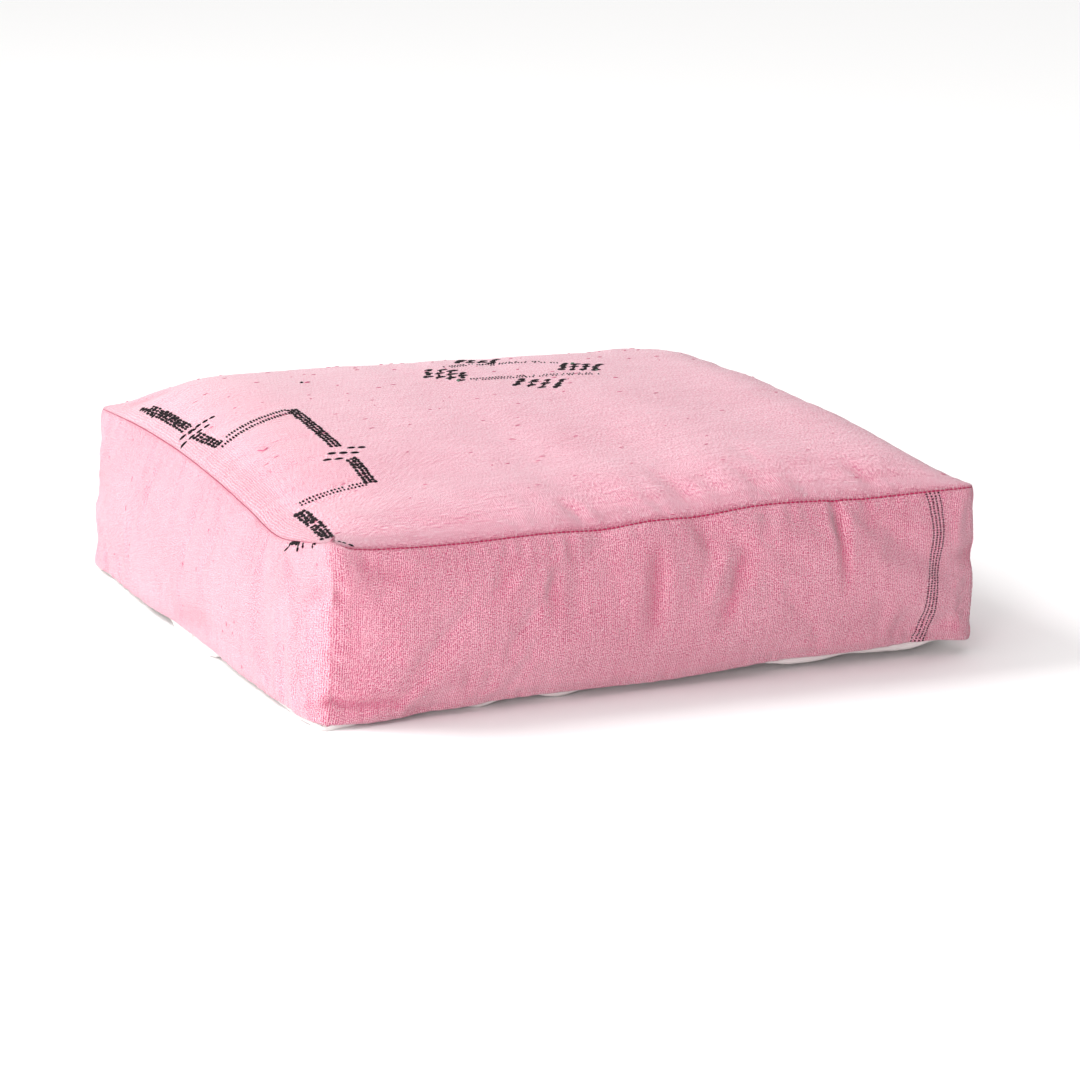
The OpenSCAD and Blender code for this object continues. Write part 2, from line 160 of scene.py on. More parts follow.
class Nodes:
    """Short calls that add nodes to a material."""

    def __init__(self, material):
        self.tree = material.node_tree
        self.shader = self.tree.nodes["Principled BSDF"]

    def add(self, kind, inputs=(), **settings):
        node = self.tree.nodes.new(kind)
        for key, value in settings.items():
            setattr(node, key, value)
        for key, value in dict(inputs).items():
            if isinstance(value, bpy.types.NodeSocket):
                self.tree.links.new(value, node.inputs[key])
            else:
                node.inputs[key].default_value = value
        return node

    def math(self, operation, a, b=0.0, c=0.0):
        return self.add("ShaderNodeMath", {0: a, 1: b, 2: c}, operation=operation).outputs[0]

    def plus(self, a, b):
        return self.math("ADD", a, b)

    def times(self, a, b):
        return self.math("MULTIPLY", a, b)

    def mix(self, factor, a, b):
        return self.add("ShaderNodeMix", {0: factor, 6: a, 7: b}, data_type="RGBA").outputs[2]

    def ramp(self, value, low, high, to_low=0.0, to_high=1.0):
        ends = {1: low, 2: high, 3: to_low, 4: to_high}
        return self.add("ShaderNodeMapRange", {0: value, **ends}).outputs[0]

    def noise(self, vector, scale, detail=2.0, stretch=(1, 1, 1)):
        moved = self.add("ShaderNodeMapping", {"Vector": vector, "Scale": stretch}).outputs[0]
        inputs = {"Vector": moved, "Scale": scale, "Detail": detail}
        return self.add("ShaderNodeTexNoise", inputs).outputs["Fac"]

    def place(self):
        return self.add("ShaderNodeNewGeometry").outputs["Position"]

    def wave(self, value, period):
        """Sine of a length in metres, from 0 to 1."""
        turned = self.times(value, 2 * math.pi / period)
        return self.math("MULTIPLY_ADD", self.math("SINE", turned), 0.5, 0.5)

    def centred(self, value, length):
        """How far a place from 0 to length is from the nearer end."""
        return self.math("MINIMUM", value, self.math("SUBTRACT", length, value))

    def link(self, value, socket):
        self.tree.links.new(value, self.shader.inputs[socket])

    def bump(self, height, depth):
        node = self.add("ShaderNodeBump", {"Height": height, "Distance": depth, "Strength": 1.0})
        self.link(node.outputs[0], "Normal")


CLOTH_UV = "Cloth"


def cloth_coordinates(nodes):
    """The flat cloth's own coordinates in metres: the vector, across the ribs, along the ribs."""
    vector = nodes.add("ShaderNodeUVMap", uv_map=CLOTH_UV).outputs[0]
    parts = nodes.add("ShaderNodeSeparateXYZ", {0: vector})
    return vector, parts.outputs[0], parts.outputs[1]


DEEP_PINK = (0.6, 0.055, 0.165, 1)
PALE_PINK = (0.97, 0.49, 0.6, 1)
FLECK_PINK = (1.0, 0.76, 0.81, 1)
# Painted light: the pale pink that the cloth turns towards the back left, where the key lamp stands
BACK_LEFT_LIGHT_PINK = (0.99, 0.68, 0.75, 1)
# Painted shade: the deep pink laid into the valleys of folds and the grooves of seams, and the name of the
# point attribute that says how much of it each point takes
HOLLOW_SHADE_PINK = (0.5, 0.03, 0.12, 1)
SHADE_ATTRIBUTE = "hollow_shade"
RIB_PITCH = 0.0017
PICK_PITCH = 0.0014
WEAVE_DEPTH = 0.001


def shades(colour, dark):
    """A darker shade of a colour and the colour itself, as a shader takes them."""
    return (*(c * dark for c in colour), 1), (*colour, 1)


def loose_grain(nodes, vector, across, along, scale, stretch):
    """Grain that is even beside the panel's seams, and stretched in its middle."""
    away = nodes.math("MINIMUM", nodes.centred(across, WIDTH), nodes.centred(along, WIDTH))
    even, loose = nodes.noise(vector, scale, 2), nodes.noise(vector, scale, 2, stretch)
    inside = nodes.ramp(away, 0.004, 0.03)
    beside = nodes.math("SUBTRACT", 1.0, inside)
    return nodes.plus(nodes.times(loose, inside), nodes.times(even, beside))


def pink_weave(name, streak, grain_stretch, contrast=0.15, back_left_light=0.0):
    """The pink cloth: ribs up the panel, a plain weave across them, loose grain and pale flecks, and
    painted shade that deepens the pink in its hollows. streak and grain_stretch are how the yarn's
    uneven bands and the grain are stretched. The last argument is how much painted light pales the
    cloth from the front right towards the back left."""
    material = new_material(name, roughness=0.65, sheen=0.85, sheen_roughness=0.42, gloss=0.35)
    nodes = Nodes(material)
    vector, across, along = cloth_coordinates(nodes)
    wobble = nodes.times(nodes.noise(vector, 30, 2), 0.004)
    ribs = nodes.wave(nodes.plus(across, wobble), RIB_PITCH)
    picks = nodes.wave(nodes.plus(along, nodes.times(wobble, 0.6)), PICK_PITCH)
    grain = nodes.ramp(loose_grain(nodes, vector, across, along, 1000, grain_stretch), 0.4, 0.6)
    flecks = nodes.ramp(nodes.noise(vector, 980, 1, grain_stretch), 0.56, 0.68)
    streaks = nodes.ramp(nodes.noise(vector, 14, 5, streak), 0.3, 0.7, -0.08, 0.08)
    patches = nodes.ramp(nodes.noise(vector, 9, 3), 0.3, 0.7, -0.05, 0.05)
    weave = nodes.plus(nodes.times(ribs, 0.38), nodes.times(picks, 0.12))
    tone = nodes.plus(weave, nodes.times(grain, 0.5))
    tone = nodes.plus(tone, nodes.plus(streaks, patches))
    colour = nodes.mix(nodes.ramp(tone, 0.5 - contrast, 0.5 + contrast), DEEP_PINK, PALE_PINK)
    colour = nodes.mix(nodes.times(flecks, 0.7), colour, FLECK_PINK)
    # Painted light: paler towards the back left, where the key lamp stands
    to_back_left = nodes.math("SUBTRACT", along, nodes.times(across, 0.5))
    colour = nodes.mix(nodes.ramp(to_back_left, 0.05, 0.5, 0.0, back_left_light), colour, BACK_LEFT_LIGHT_PINK)
    # Painted shade: deeper pink where the cloth lies in a fold's valley or a seam's groove
    hollow_shade = nodes.add("ShaderNodeAttribute", attribute_name=SHADE_ATTRIBUTE).outputs["Fac"]
    colour = nodes.mix(nodes.times(hollow_shade, 0.8), colour, HOLLOW_SHADE_PINK)
    nodes.link(colour, "Base Color")
    nodes.bump(nodes.plus(weave, nodes.times(grain, 0.8)), WEAVE_DEPTH)
    return material


def plan_coordinates(nodes):
    """The same for a piece that keeps its CAD mesh: its place in plan."""
    vector = nodes.place()
    parts = nodes.add("ShaderNodeSeparateXYZ", {0: vector})
    return vector, parts.outputs[0], parts.outputs[1]


def canvas(name, colour, coordinates=cloth_coordinates):
    material = new_material(name, roughness=0.85, sheen=0.2)
    nodes = Nodes(material)
    vector, across, along = coordinates(nodes)
    weave = nodes.times(nodes.wave(across, 0.0011), nodes.wave(along, 0.0013))
    cloudy = nodes.noise(vector, 20, 4)
    tone = nodes.plus(nodes.times(weave, 0.5), nodes.times(cloudy, 0.5))
    nodes.link(nodes.mix(nodes.ramp(tone, 0.2, 0.7), *shades(colour, 0.82)), "Base Color")
    nodes.bump(weave, 0.0003)
    return material


def thread(name, colour, highlight, sheen=0.25, scale=1400, gloss=0.5):
    material = new_material(name, roughness=0.75, sheen=sheen, gloss=gloss)
    nodes = Nodes(material)
    fibres = nodes.noise(nodes.place(), scale, 3)
    nodes.link(nodes.mix(nodes.ramp(fibres, 0.35, 0.7), (*colour, 1), (*highlight, 1)), "Base Color")
    nodes.bump(fibres, 0.42 / scale)
    return material


def satin(name, colour, metallic, roughness):
    material = new_material(name, roughness=roughness, metallic=metallic)
    nodes = Nodes(material)
    scratches = nodes.noise(nodes.place(), 400, 4, (1, 8, 8))
    nodes.link(nodes.mix(scratches, *shades(colour, 0.8)), "Base Color")
    nodes.link(nodes.ramp(scratches, 0.2, 0.8, roughness * 0.8, roughness * 1.25), "Roughness")
    nodes.bump(scratches, 0.00005)
    return material


PINK = pink_weave("pink_weave", (26, 1.4, 1), (1.0, 0.8, 1))
# The top gets painted light, paler towards the back left
PINK_TOP = pink_weave("pink_weave_top", (1.3, 9, 1), (0.8, 0.35, 1), back_left_light=0.3)
COTTON = canvas("white_cotton", (0.86, 0.85, 0.82))
CASING = canvas("casing_cotton", (0.84, 0.83, 0.79))
TAPE = canvas("zip_tape", (0.78, 0.77, 0.74), plan_coordinates)
# The top seam's thread: near black pink, its own colour and also painted shade of the seam's groove
SEAM_SHADE_THREAD = thread("pink_thread", (0.34, 0.012, 0.06), (0.55, 0.06, 0.15), sheen=0, gloss=0.2)
CLOTH_THREAD = thread("cloth_thread", (0.62, 0.2, 0.29), (0.86, 0.4, 0.49))
SLUB_THREAD = thread("slub_thread", (0.5, 0.06, 0.15), (0.75, 0.2, 0.32))
PALE_SLUB = thread("pale_slub", (0.85, 0.55, 0.62), (0.95, 0.75, 0.8))
WHITE_THREAD = thread("white_thread", (0.72, 0.71, 0.67), (0.9, 0.89, 0.86))
BLACK_THREAD = thread("black_thread", (0.004, 0.003, 0.004), (0.02, 0.014, 0.017), sheen=0, gloss=0.1)
GREEN_THREAD = thread("green_thread", (0.02, 0.09, 0.045), (0.06, 0.2, 0.1))
FIBRE = thread("fibre_fill", (0.74, 0.74, 0.72), (0.95, 0.95, 0.93), sheen=0.5, scale=160)
TEETH = satin("zip_teeth", (0.82, 0.81, 0.78), 0.0, 0.4)
METAL = satin("slider_metal", (0.62, 0.62, 0.63), 1.0, 0.28)

# ---------------------------------------------------------------- the stuffed shape

# Corners go round from the front left one. Each has how far it stands out of the square, across
# and along, and its height above the seam's usual one
SIGNS = np.array(((-1, -1), (1, -1), (1, 1), (-1, 1)))
OUTWARD = np.array(((0, -1), (1, 0), (0, 1), (-1, 0)))
TOP_CORNERS = (
    (-0.0015, 0.0005, 0.001), (0.005, 0.0005, -0.0055),
    (0.004, 0.003, -0.006), (-0.0005, -0.003, -0.0015),
)
FOOT_CORNERS = (
    (0.008, 0.012, 0.003), (0.0055, -0.002, 0.009), (0.006, 0.005, 0.005), (0.009, -0.004, 0.002),
)
POST_BULGE = (0.0045, 0.0085, 0.005, 0.006)
# Sides go round from the front one. A seam's rises are at shares of its side, from its left end
TOP_SEAM = (
    (
        (0, 0), (0.03, -0.0055), (0.11, -0.0095), (0.19, -0.0103), (0.35, -0.0087), (0.41, -0.0098),
        (0.485, -0.006), (0.57, -0.0055), (0.64, -0.0011), (0.83, -0.0023), (0.93, -0.0007), (1, 0),
    ),
    ((0, 0), (0.15, -0.003), (0.5, -0.004), (0.85, -0.003), (1, 0)),
    ((0, 0), (0.2, -0.004), (0.5, -0.002), (0.8, -0.004), (1, 0)),
    (
        (0, 0), (0.185, 0.0022), (0.335, 0.0003), (0.51, -0.0064), (0.67, -0.0156), (0.77, -0.022),
        (0.9, -0.0115), (0.98, -0.0025), (1, 0),
    ),
)
FOOT_SEAM = (
    (
        (0, 0), (0.06, -0.0045), (0.11, -0.0055), (0.19, -0.0055), (0.26, -0.0042), (0.41, -0.0046),
        (0.5, -0.0055), (0.6, -0.0042), (0.695, -0.0022), (0.79, -0.002), (0.91, -0.0004), (0.965, 0),
        (1, 0),
    ),
    ((0, 0), (0.2, -0.004), (0.5, -0.003), (0.8, -0.001), (1, 0)),
    ((0, 0), (0.2, 0.003), (0.5, 0.001), (0.8, 0.004), (1, 0)),
    ((0, 0), (0.3, 0.001), (0.42, 0.004), (0.58, 0.004), (0.7, 0.001), (1, 0)),
)
TOP_OUT = -0.006
# How far each foot seam stands out of the straight line between its corners
FOOT_OUT = (
    ((0, 0), (0.25, -0.0056), (0.5, -0.0075), (0.75, -0.0056), (1, 0)),
    ((0, 0), (0.5, -0.002), (1, 0)),
    ((0, 0), (0.5, 0.002), (1, 0)),
    ((0, 0), (0.25, 0.0075), (0.5, 0.0105), (0.75, 0.0105), (0.88, 0.0095), (0.96, 0.0065), (1, 0)),
)
SIDE_BULGE = (0.009, 0.01, 0.01, 0.006)
# Radius of each corner: at its top and foot, and at mid height
ROUNDING = np.array(((0.013, 0.05), (0.007, 0.03), (0.022, 0.028), (0.006, 0.024)))
# How far a side's foot tucks in under it, and the height of that tuck as a share of the side
TUCK = (0.007, 0.003, 0.003, 0.002)
TUCK_HEIGHT = 0.02
# Soft lumps of the top: place across and along, spread across and along, height
TOP_LUMPS = (
    (0.085, 0.5, 0.05, 0.08, 0.0027),
    (0.41, 0.55, 0.12, 0.05, -0.0015),
    (0.59, 0.44, 0.03, 0.07, 0.0052),
    (0.56, 0.2, 0.05, 0.09, 0.0055),
    (0.17, 0.57, 0.08, 0.05, 0.004),
    (0.57, 0.34, 0.05, 0.08, 0.006),
)


def bump_at(x, middle, width, power=2):
    return np.exp(-np.abs((x - middle) / width) ** power)


def smooth(x, low, high):
    t = np.clip((x - low) / (high - low), 0, 1)
    return t * t * (3 - 2 * t)


def through(points, x):
    """A smooth curve through (place, value) points."""
    places, values = np.array(points, float).T
    slopes = np.gradient(values, places)
    i = np.clip(np.searchsorted(places, x) - 1, 0, len(places) - 2)
    gap = places[i + 1] - places[i]
    t = np.clip((x - places[i]) / gap, 0, 1)
    ends = (2 * t ** 3 - 3 * t ** 2 + 1) * values[i] + (3 * t ** 2 - 2 * t ** 3) * values[i + 1]
    return ends + (t ** 3 - 2 * t ** 2 + t) * gap * slopes[i] + (t ** 3 - t ** 2) * gap * slopes[i + 1]


def well_inside(p, q, steep):
    """0 at the edges of a panel and 1 well inside it."""
    return np.clip(steep * p * (1 - p), 0, 1) * np.clip(steep * q * (1 - q), 0, 1)


def corner_point(corner, high):
    out_x, out_y, rise = (TOP_CORNERS if high else FOOT_CORNERS)[corner]
    x, y = SIGNS[corner] * (HALF + np.array((out_x, out_y)))
    return np.array((x, y, rise + (TOP_Z if high else 0)))


def seam(side, share, high):
    """The top or foot seam of a side, at a share of its length from its left end."""
    a, b = corner_point(side, high), corner_point((side + 1) % 4, high)
    p = share[..., None]
    line = a * (1 - p) + b * p
    line[..., 2] += through((TOP_SEAM if high else FOOT_SEAM)[side], share)
    out = TOP_OUT * 4 * share * (1 - share) if high else through(FOOT_OUT[side], share)
    line[..., :2] += OUTWARD[side] * out[..., None]
    return line


def post(corner, share):
    """The upright seam at a corner, at a share of its height."""
    p = share[..., None]
    line = corner_point(corner, False) * (1 - p) + corner_point(corner, True) * p
    out = POST_BULGE[corner] * np.sin(np.pi * share) ** 0.8
    line[..., :2] += SIGNS[corner] * out[..., None]
    return line


def patch(p, q, low, high, left, right):
    """Fills in between four edges. p and q run from 0 to 1, and each edge is a function of one."""
    zero, one = np.zeros_like(p), np.ones_like(p)
    a, b = p[..., None], q[..., None]
    flat = (1 - a) * (1 - b) * low(zero) + a * (1 - b) * low(one)
    flat = flat + (1 - a) * b * high(zero) + a * b * high(one)
    return (1 - b) * low(p) + b * high(p) + (1 - a) * left(q) + a * right(q) - flat


def corner_round(k, radius):
    """How far rounding the corners moves a point on the side that faces -Y: across and outward."""
    straight = HALF - radius
    place = np.abs(k) * (straight + radius * np.pi / 4)
    angle = np.clip((place - straight) / radius, 0, np.pi / 4)
    across = np.where(place < straight, place, straight + radius * np.sin(angle))
    return np.sign(k) * (across - np.abs(k) * HALF), -radius * (1 - np.cos(angle))


def side_shape(side, p, q):
    """Points of a side panel: p from 0 to 1 along it, from its left end, and q from foot to top."""
    shape = patch(
        p, q, lambda x: seam(side, x, False), lambda x: seam(side, x, True),
        lambda x: post(side, x), lambda x: post((side + 1) % 4, x),
    )
    k = 2 * p - 1
    rise = np.sin(np.pi * q)
    corner = np.where(k < 0, side, (side + 1) % 4)
    ends, middle = ROUNDING[corner, 0], ROUNDING[corner, 1]
    across, out = corner_round(k, ends + (middle - ends) * np.abs(rise) ** 0.6)
    tuck = TUCK[side] * (1 - k ** 8) * np.exp(-((q / TUCK_HEIGHT) ** 2))
    out = out + SIDE_BULGE[side] * (1 - k ** 4) * np.abs(rise) ** 0.8 - tuck
    along = OUTWARD[(side + 1) % 4]
    shape[..., :2] += along * across[..., None] + OUTWARD[side] * out[..., None]
    shape[..., 2] += tuck / 2
    return shape


def rim(side, share, high):
    return side_shape(side, share, np.full_like(share, float(high)))


def flat_patch(p, q, high):
    return patch(
        p, q, lambda x: rim(0, x, high), lambda x: rim(2, 1 - x, high),
        lambda x: rim(3, 1 - x, high), lambda x: rim(1, x, high),
    )


# Height of the top's level middle, and how slowly it rises from its front, right, back and left seams
TOP_RISE = 0.9 * CROWN
TOP_EDGE = (0.051, 0.029, 0.037, 0.034)


def top_shape(p, q):
    shape = flat_patch(p, q, True)
    s, t = p * WIDTH, q * WIDTH
    share = 1.0
    for slow, away in zip(TOP_EDGE, (t, WIDTH - s, WIDTH - t, s)):
        share = share * (1 - np.exp(-away / slow))
    lumps = sum(rise * bump_at(s, x, wide) * bump_at(t, y, deep) for x, y, wide, deep, rise in TOP_LUMPS)
    shape[..., 2] += TOP_RISE * share + well_inside(p, q, 24) * lumps
    return shape


# How far the base rolls out below its seam, at shares of each side
PEEK = (
    (
        (0, 0.003), (0.04, 0.003), (0.06, 0), (0.22, 0), (0.245, 0.003), (0.27, 0), (0.33, 0),
        (0.36, 0.0035), (0.4, 0), (0.68, 0), (0.72, 0.004), (0.77, 0.004), (0.8, 0.0015),
        (0.86, 0.0036), (0.92, 0.003), (0.95, -0.003), (1, -0.0035),
    ),
    ((0, -0.0035), (0.06, -0.003), (0.12, 0), (0.3, 0.004), (0.5, 0), (0.8, 0.003), (1, 0.002)),
    ((0, 0.002), (0.2, 0), (0.45, 0.003), (0.7, 0), (1, 0.002)),
    (
        (0, 0.002), (0.2, 0), (0.39, 0), (0.42, 0.009), (0.5, 0.013), (0.56, 0.012), (0.61, 0),
        (0.7, 0), (0.85, 0.001), (0.95, 0.003), (1, 0.002),
    ),
)
# The roll is thickest ROLL in from the seams, and starts over the first ROLL_START
ROLL = 0.007
ROLL_START = 0.004
# The base is level beyond RIM from its seams, and rises again within VALLEY of the zip
RIM = 0.1
VALLEY = 0.06
VALLEY_END = (0.262, 0.282)
VALLEY_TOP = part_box("base_panel_front")[1].z - 0.0013
# Over how far from its ends the base's middle line turns straight
STRAIGHTENING = 0.02


def base_rise(distance):
    """The base's height as a share of its seam's, at a distance from that seam. It starts level."""
    return 1 - smooth(distance, 0, RIM)


def base_roll(s, t):
    """How far the base rolls out below its seams."""
    p, q = s / WIDTH, t / WIDTH
    roll = np.zeros(np.shape(s))
    nearest = np.minimum(np.minimum(s, WIDTH - s), np.minimum(t, WIDTH - t))
    for side, (share, away) in enumerate(((p, t), (q, WIDTH - s), (1 - p, WIDTH - t), (1 - q, s))):
        roll = roll + through(PEEK[side], share) * bump_at(away, ROLL, ROLL)
    return roll * smooth(nearest, 0, ROLL_START)


def base_shape(p, q):
    shape = flat_patch(p, q, False)
    # The middle line runs straight and unstretched, for the zip
    middle = flat_patch(p, np.full_like(p, 0.5), False)[..., :2]
    middle[..., 0] -= (p - 0.5) * WIDTH
    ends = smooth(np.minimum(p, 1 - p) * WIDTH, 0, STRAIGHTENING)
    shape[..., :2] -= middle * ((1 - np.abs(2 * q - 1)) * ends)[..., None]
    keep = 1.0
    for away in (q, 1 - p, 1 - q, p):
        keep = keep * (1 - base_rise(away * WIDTH))
    y, x = (q - 0.5) * WIDTH, (p - 0.5) * WIDTH
    valley = np.where(np.abs(y) < VALLEY, np.cos(np.pi / 2 * y / VALLEY) ** 2, 0)
    valley = valley * (1 - smooth(np.abs(x), *VALLEY_END)) * VALLEY_TOP
    shape[..., 2] = shape[..., 2] * (1 - keep) + keep * valley
    return shape


SIDES = ("front", "right", "back", "left")
SHAPES = {name: partial(side_shape, side) for side, name in enumerate(SIDES)}
SHAPES.update(top=top_shape, base=base_shape)

# ---------------------------------------------------------------- the lattice and its simulation

ACROSS = 84
UP = 20


def broad(grid, reach=7):
    """The broad part of a grid of moves: each one's average with those round it."""
    for axis in (0, 1):
        ends = [(reach, reach) if a == axis else (0, 0) for a in range(3)]
        wide = np.pad(grid, ends, mode="edge")
        places = np.arange(grid.shape[axis])
        grid = sum(np.take(wide, places + k, axis) for k in range(2 * reach + 1)) / (2 * reach + 1)
    return grid


def quads(number):
    """The faces between the numbered points of a grid."""
    corners = number[:-1, :-1], number[1:, :-1], number[1:, 1:], number[:-1, 1:]
    return np.stack(corners, -1).reshape(-1, 4)


class Lattice:
    """Closed box of ACROSS x ACROSS x UP cells whose outside is the cover."""

    def __init__(self):
        self.index = {}
        n, m = ACROSS, UP
        for i in range(n + 1):
            for j in range(n + 1):
                for k in range(m + 1):
                    if i in (0, n) or j in (0, n) or k in (0, m):
                        self.index[i, j, k] = len(self.index)
        self.parts = {
            "top": self.grid(lambda a, b: (a, b, m), n, n),
            "base": self.grid(lambda a, b: (a, b, 0), n, n),
            "front": self.grid(lambda a, b: (a, 0, b), n, m),
            "right": self.grid(lambda a, b: (n, a, b), n, m),
            "back": self.grid(lambda a, b: (n - a, n, b), n, m),
            "left": self.grid(lambda a, b: (0, n - a, b), n, m),
        }
        self.points = np.zeros((len(self.index), 3))
        for part, grid in self.parts.items():
            places = [np.linspace(0, 1, count) for count in grid.shape]
            self.points[grid] = SHAPES[part](*np.meshgrid(*places, indexing="ij"))
        self.drawn = self.points.copy()

    def grid(self, place, first, second):
        return np.array([[self.index[place(a, b)] for b in range(second + 1)] for a in range(first + 1)])

    def faces(self):
        faces = {part: quads(grid) for part, grid in self.parts.items()}
        faces["base"] = faces["base"][:, ::-1]
        return np.concatenate(list(faces.values()))

    def normals(self):
        faces = self.faces()
        p = self.points[faces]
        across = np.cross(p[:, 2] - p[:, 0], p[:, 3] - p[:, 1])
        total = np.zeros_like(self.points)
        for corner in range(4):
            np.add.at(total, faces[:, corner], across)
        return total / np.linalg.norm(total, axis=1, keepdims=True)

    def take(self, moved):
        """Keeps the simulation's folds and gathers, but not its broad moves, nor any at the seams
        or on the base."""
        shift = moved - self.points
        normals = self.normals()
        outward = np.sum(shift * normals, axis=1, keepdims=True) * normals
        shift = outward + SIDEWAYS * (shift - outward)
        size = np.linalg.norm(shift, axis=1, keepdims=True)
        print(f"stuffed: mean move {size.mean() * 1000:.2f} mm, largest {size.max() * 1000:.2f} mm")
        shift = shift * np.tanh(size / SIM_CAP) * SIM_CAP / np.maximum(size, 1e-9)
        for part, grid in self.parts.items():
            if part == "base":
                continue
            own = shift[grid]
            p, q = (np.linspace(0, 1, count) for count in grid.shape)
            p, q = p[:, None, None], q[None, :, None]
            edges = (1 - q) * own[:, :1] + q * own[:, -1:] + (1 - p) * own[:1] + p * own[-1:]
            corners = (1 - p) * (1 - q) * own[0, 0] + p * (1 - q) * own[-1, 0]
            corners = corners + (1 - p) * q * own[0, -1] + p * q * own[-1, -1]
            own = own - edges + corners
            own = (own - well_inside(p, q, 16) * broad(own)) * (TOP_MOVE if part == "top" else 1)
            self.points[grid] = self.drawn[grid] + own


def new_mesh(name, points, faces):
    mesh = bpy.data.meshes.new(name)
    mesh.from_pydata(np.asarray(points, np.float32).tolist(), [], np.asarray(faces).tolist())
    return mesh


# Most that a point keeps of its simulated move, the share of it kept along the surface, and the
# share kept on the top
SIM_CAP = 0.01
SIDEWAYS = 0.25
TOP_MOVE = 0.4
SIM_FRAMES = 20
# Cells of the base beside its seams that are free to move
HELD_EDGE = 4


def stuff(lattice):
    """Blows the cover up like a stuffed one. Its seams are shorter than the cloth beside them, so
    the cloth puckers there."""
    mesh = new_mesh("stuffing", lattice.points, lattice.faces())
    cover = add_object("stuffing", mesh)
    seams = cover.vertex_groups.new(name="seams")
    held = cover.vertex_groups.new(name="held")
    grid = lattice.parts
    on_seam = set()
    for part in SIDES:
        on_seam.update(grid[part][:, 0].tolist() + grid[part][:, -1].tolist() + grid[part][0].tolist())
    seams.add(sorted(on_seam), 1.0, "REPLACE")
    held.add(list(range(len(lattice.points))), 0.05, "REPLACE")
    held.add(sorted(on_seam), 0.5, "REPLACE")
    held.add(grid["base"][HELD_EDGE:-HELD_EDGE, HELD_EDGE:-HELD_EDGE].ravel().tolist(), 1.0, "REPLACE")
    cloth = cover.modifiers.new("cloth", "CLOTH")
    set_up = cloth.settings
    set_up.quality = 6
    set_up.mass = 0.25
    set_up.tension_stiffness = 40
    set_up.compression_stiffness = 40
    set_up.shear_stiffness = 15
    set_up.bending_stiffness = 0.6
    set_up.use_pressure = True
    set_up.uniform_pressure_force = 4.0
    set_up.effector_weights.gravity = 0
    set_up.vertex_group_mass = "held"
    set_up.pin_stiffness = 1.0
    set_up.vertex_group_shrink = "seams"
    set_up.shrink_max = 0.06
    cloth.collision_settings.use_collision = False
    cloth.point_cache.frame_start = 1
    cloth.point_cache.frame_end = SIM_FRAMES
    for step in range(1, SIM_FRAMES + 1):
        scene.frame_set(step)
    shaped = cover.evaluated_get(bpy.context.evaluated_depsgraph_get()).to_mesh()
    moved = np.zeros(len(lattice.points) * 3, np.float32)
    shaped.vertices.foreach_get("co", moved)
    lattice.take(moved.reshape(-1, 3))
    scene.frame_set(1)
    bpy.data.objects.remove(cover)
    bpy.data.meshes.remove(mesh)


lattice = Lattice()
stuff(lattice)
lattice_shift = lattice.points - lattice.drawn
lattice_normals = lattice.normals()

# ---------------------------------------------------------------- panels over the lattice


def cubic_weights(t):
    return np.stack([
        ((-t + 2) * t - 1) * t / 2,
        ((3 * t - 5) * t * t + 2) / 2,
        ((-3 * t + 4) * t + 1) * t / 2,
        (t - 1) * t * t / 2,
    ], -1)


def sample(grid, a, b):
    """Smooth values of a grid at places a and b, from 0 to 1 along its first and second steps."""
    rows, cols = grid.shape[0] - 1, grid.shape[1] - 1
    x, y = np.clip(a, 0, 1) * rows, np.clip(b, 0, 1) * cols
    i, j = np.minimum(x.astype(int), rows - 1), np.minimum(y.astype(int), cols - 1)
    wx, wy = cubic_weights(x - i), cubic_weights(y - j)
    padded = np.pad(grid, ((1, 1), (1, 1), (0, 0)), mode="reflect", reflect_type="odd")
    total = 0
    for p in range(4):
        for q in range(4):
            total = total + padded[i + p, j + q] * (wx[..., p] * wy[..., q])[..., None]
    return total


SEAM_DEPTH = 0.0034
RIM_DEPTH = 0.0019
POST_DEPTH = 0.0008
SEAM_WIDTH = 0.002
SEAM_ROLL = 0.0008
PUCKER = 0.0007
SIDE_HEIGHT = TOP_Z - BASE_Z


def pucker(along, phase):
    """Small gathers along a seam, from -1 to 1."""
    bend = np.sin(2 * np.pi * along / 0.061 + phase)
    swell = 0.6 + 0.4 * np.sin(2 * np.pi * along / 0.113 + 2 * phase)
    return np.sin(2 * np.pi * along / 0.0165 + 1.6 * bend) * swell


CENTRE = np.array((0, 0, 0.092))


def drawn_in(points, inset):
    """The cover's shape drawn in towards its middle, for what lies inside it."""
    reach = np.array((HALF, HALF, CENTRE[2]))
    return CENTRE + (points - CENTRE) * (1 - inset / reach)


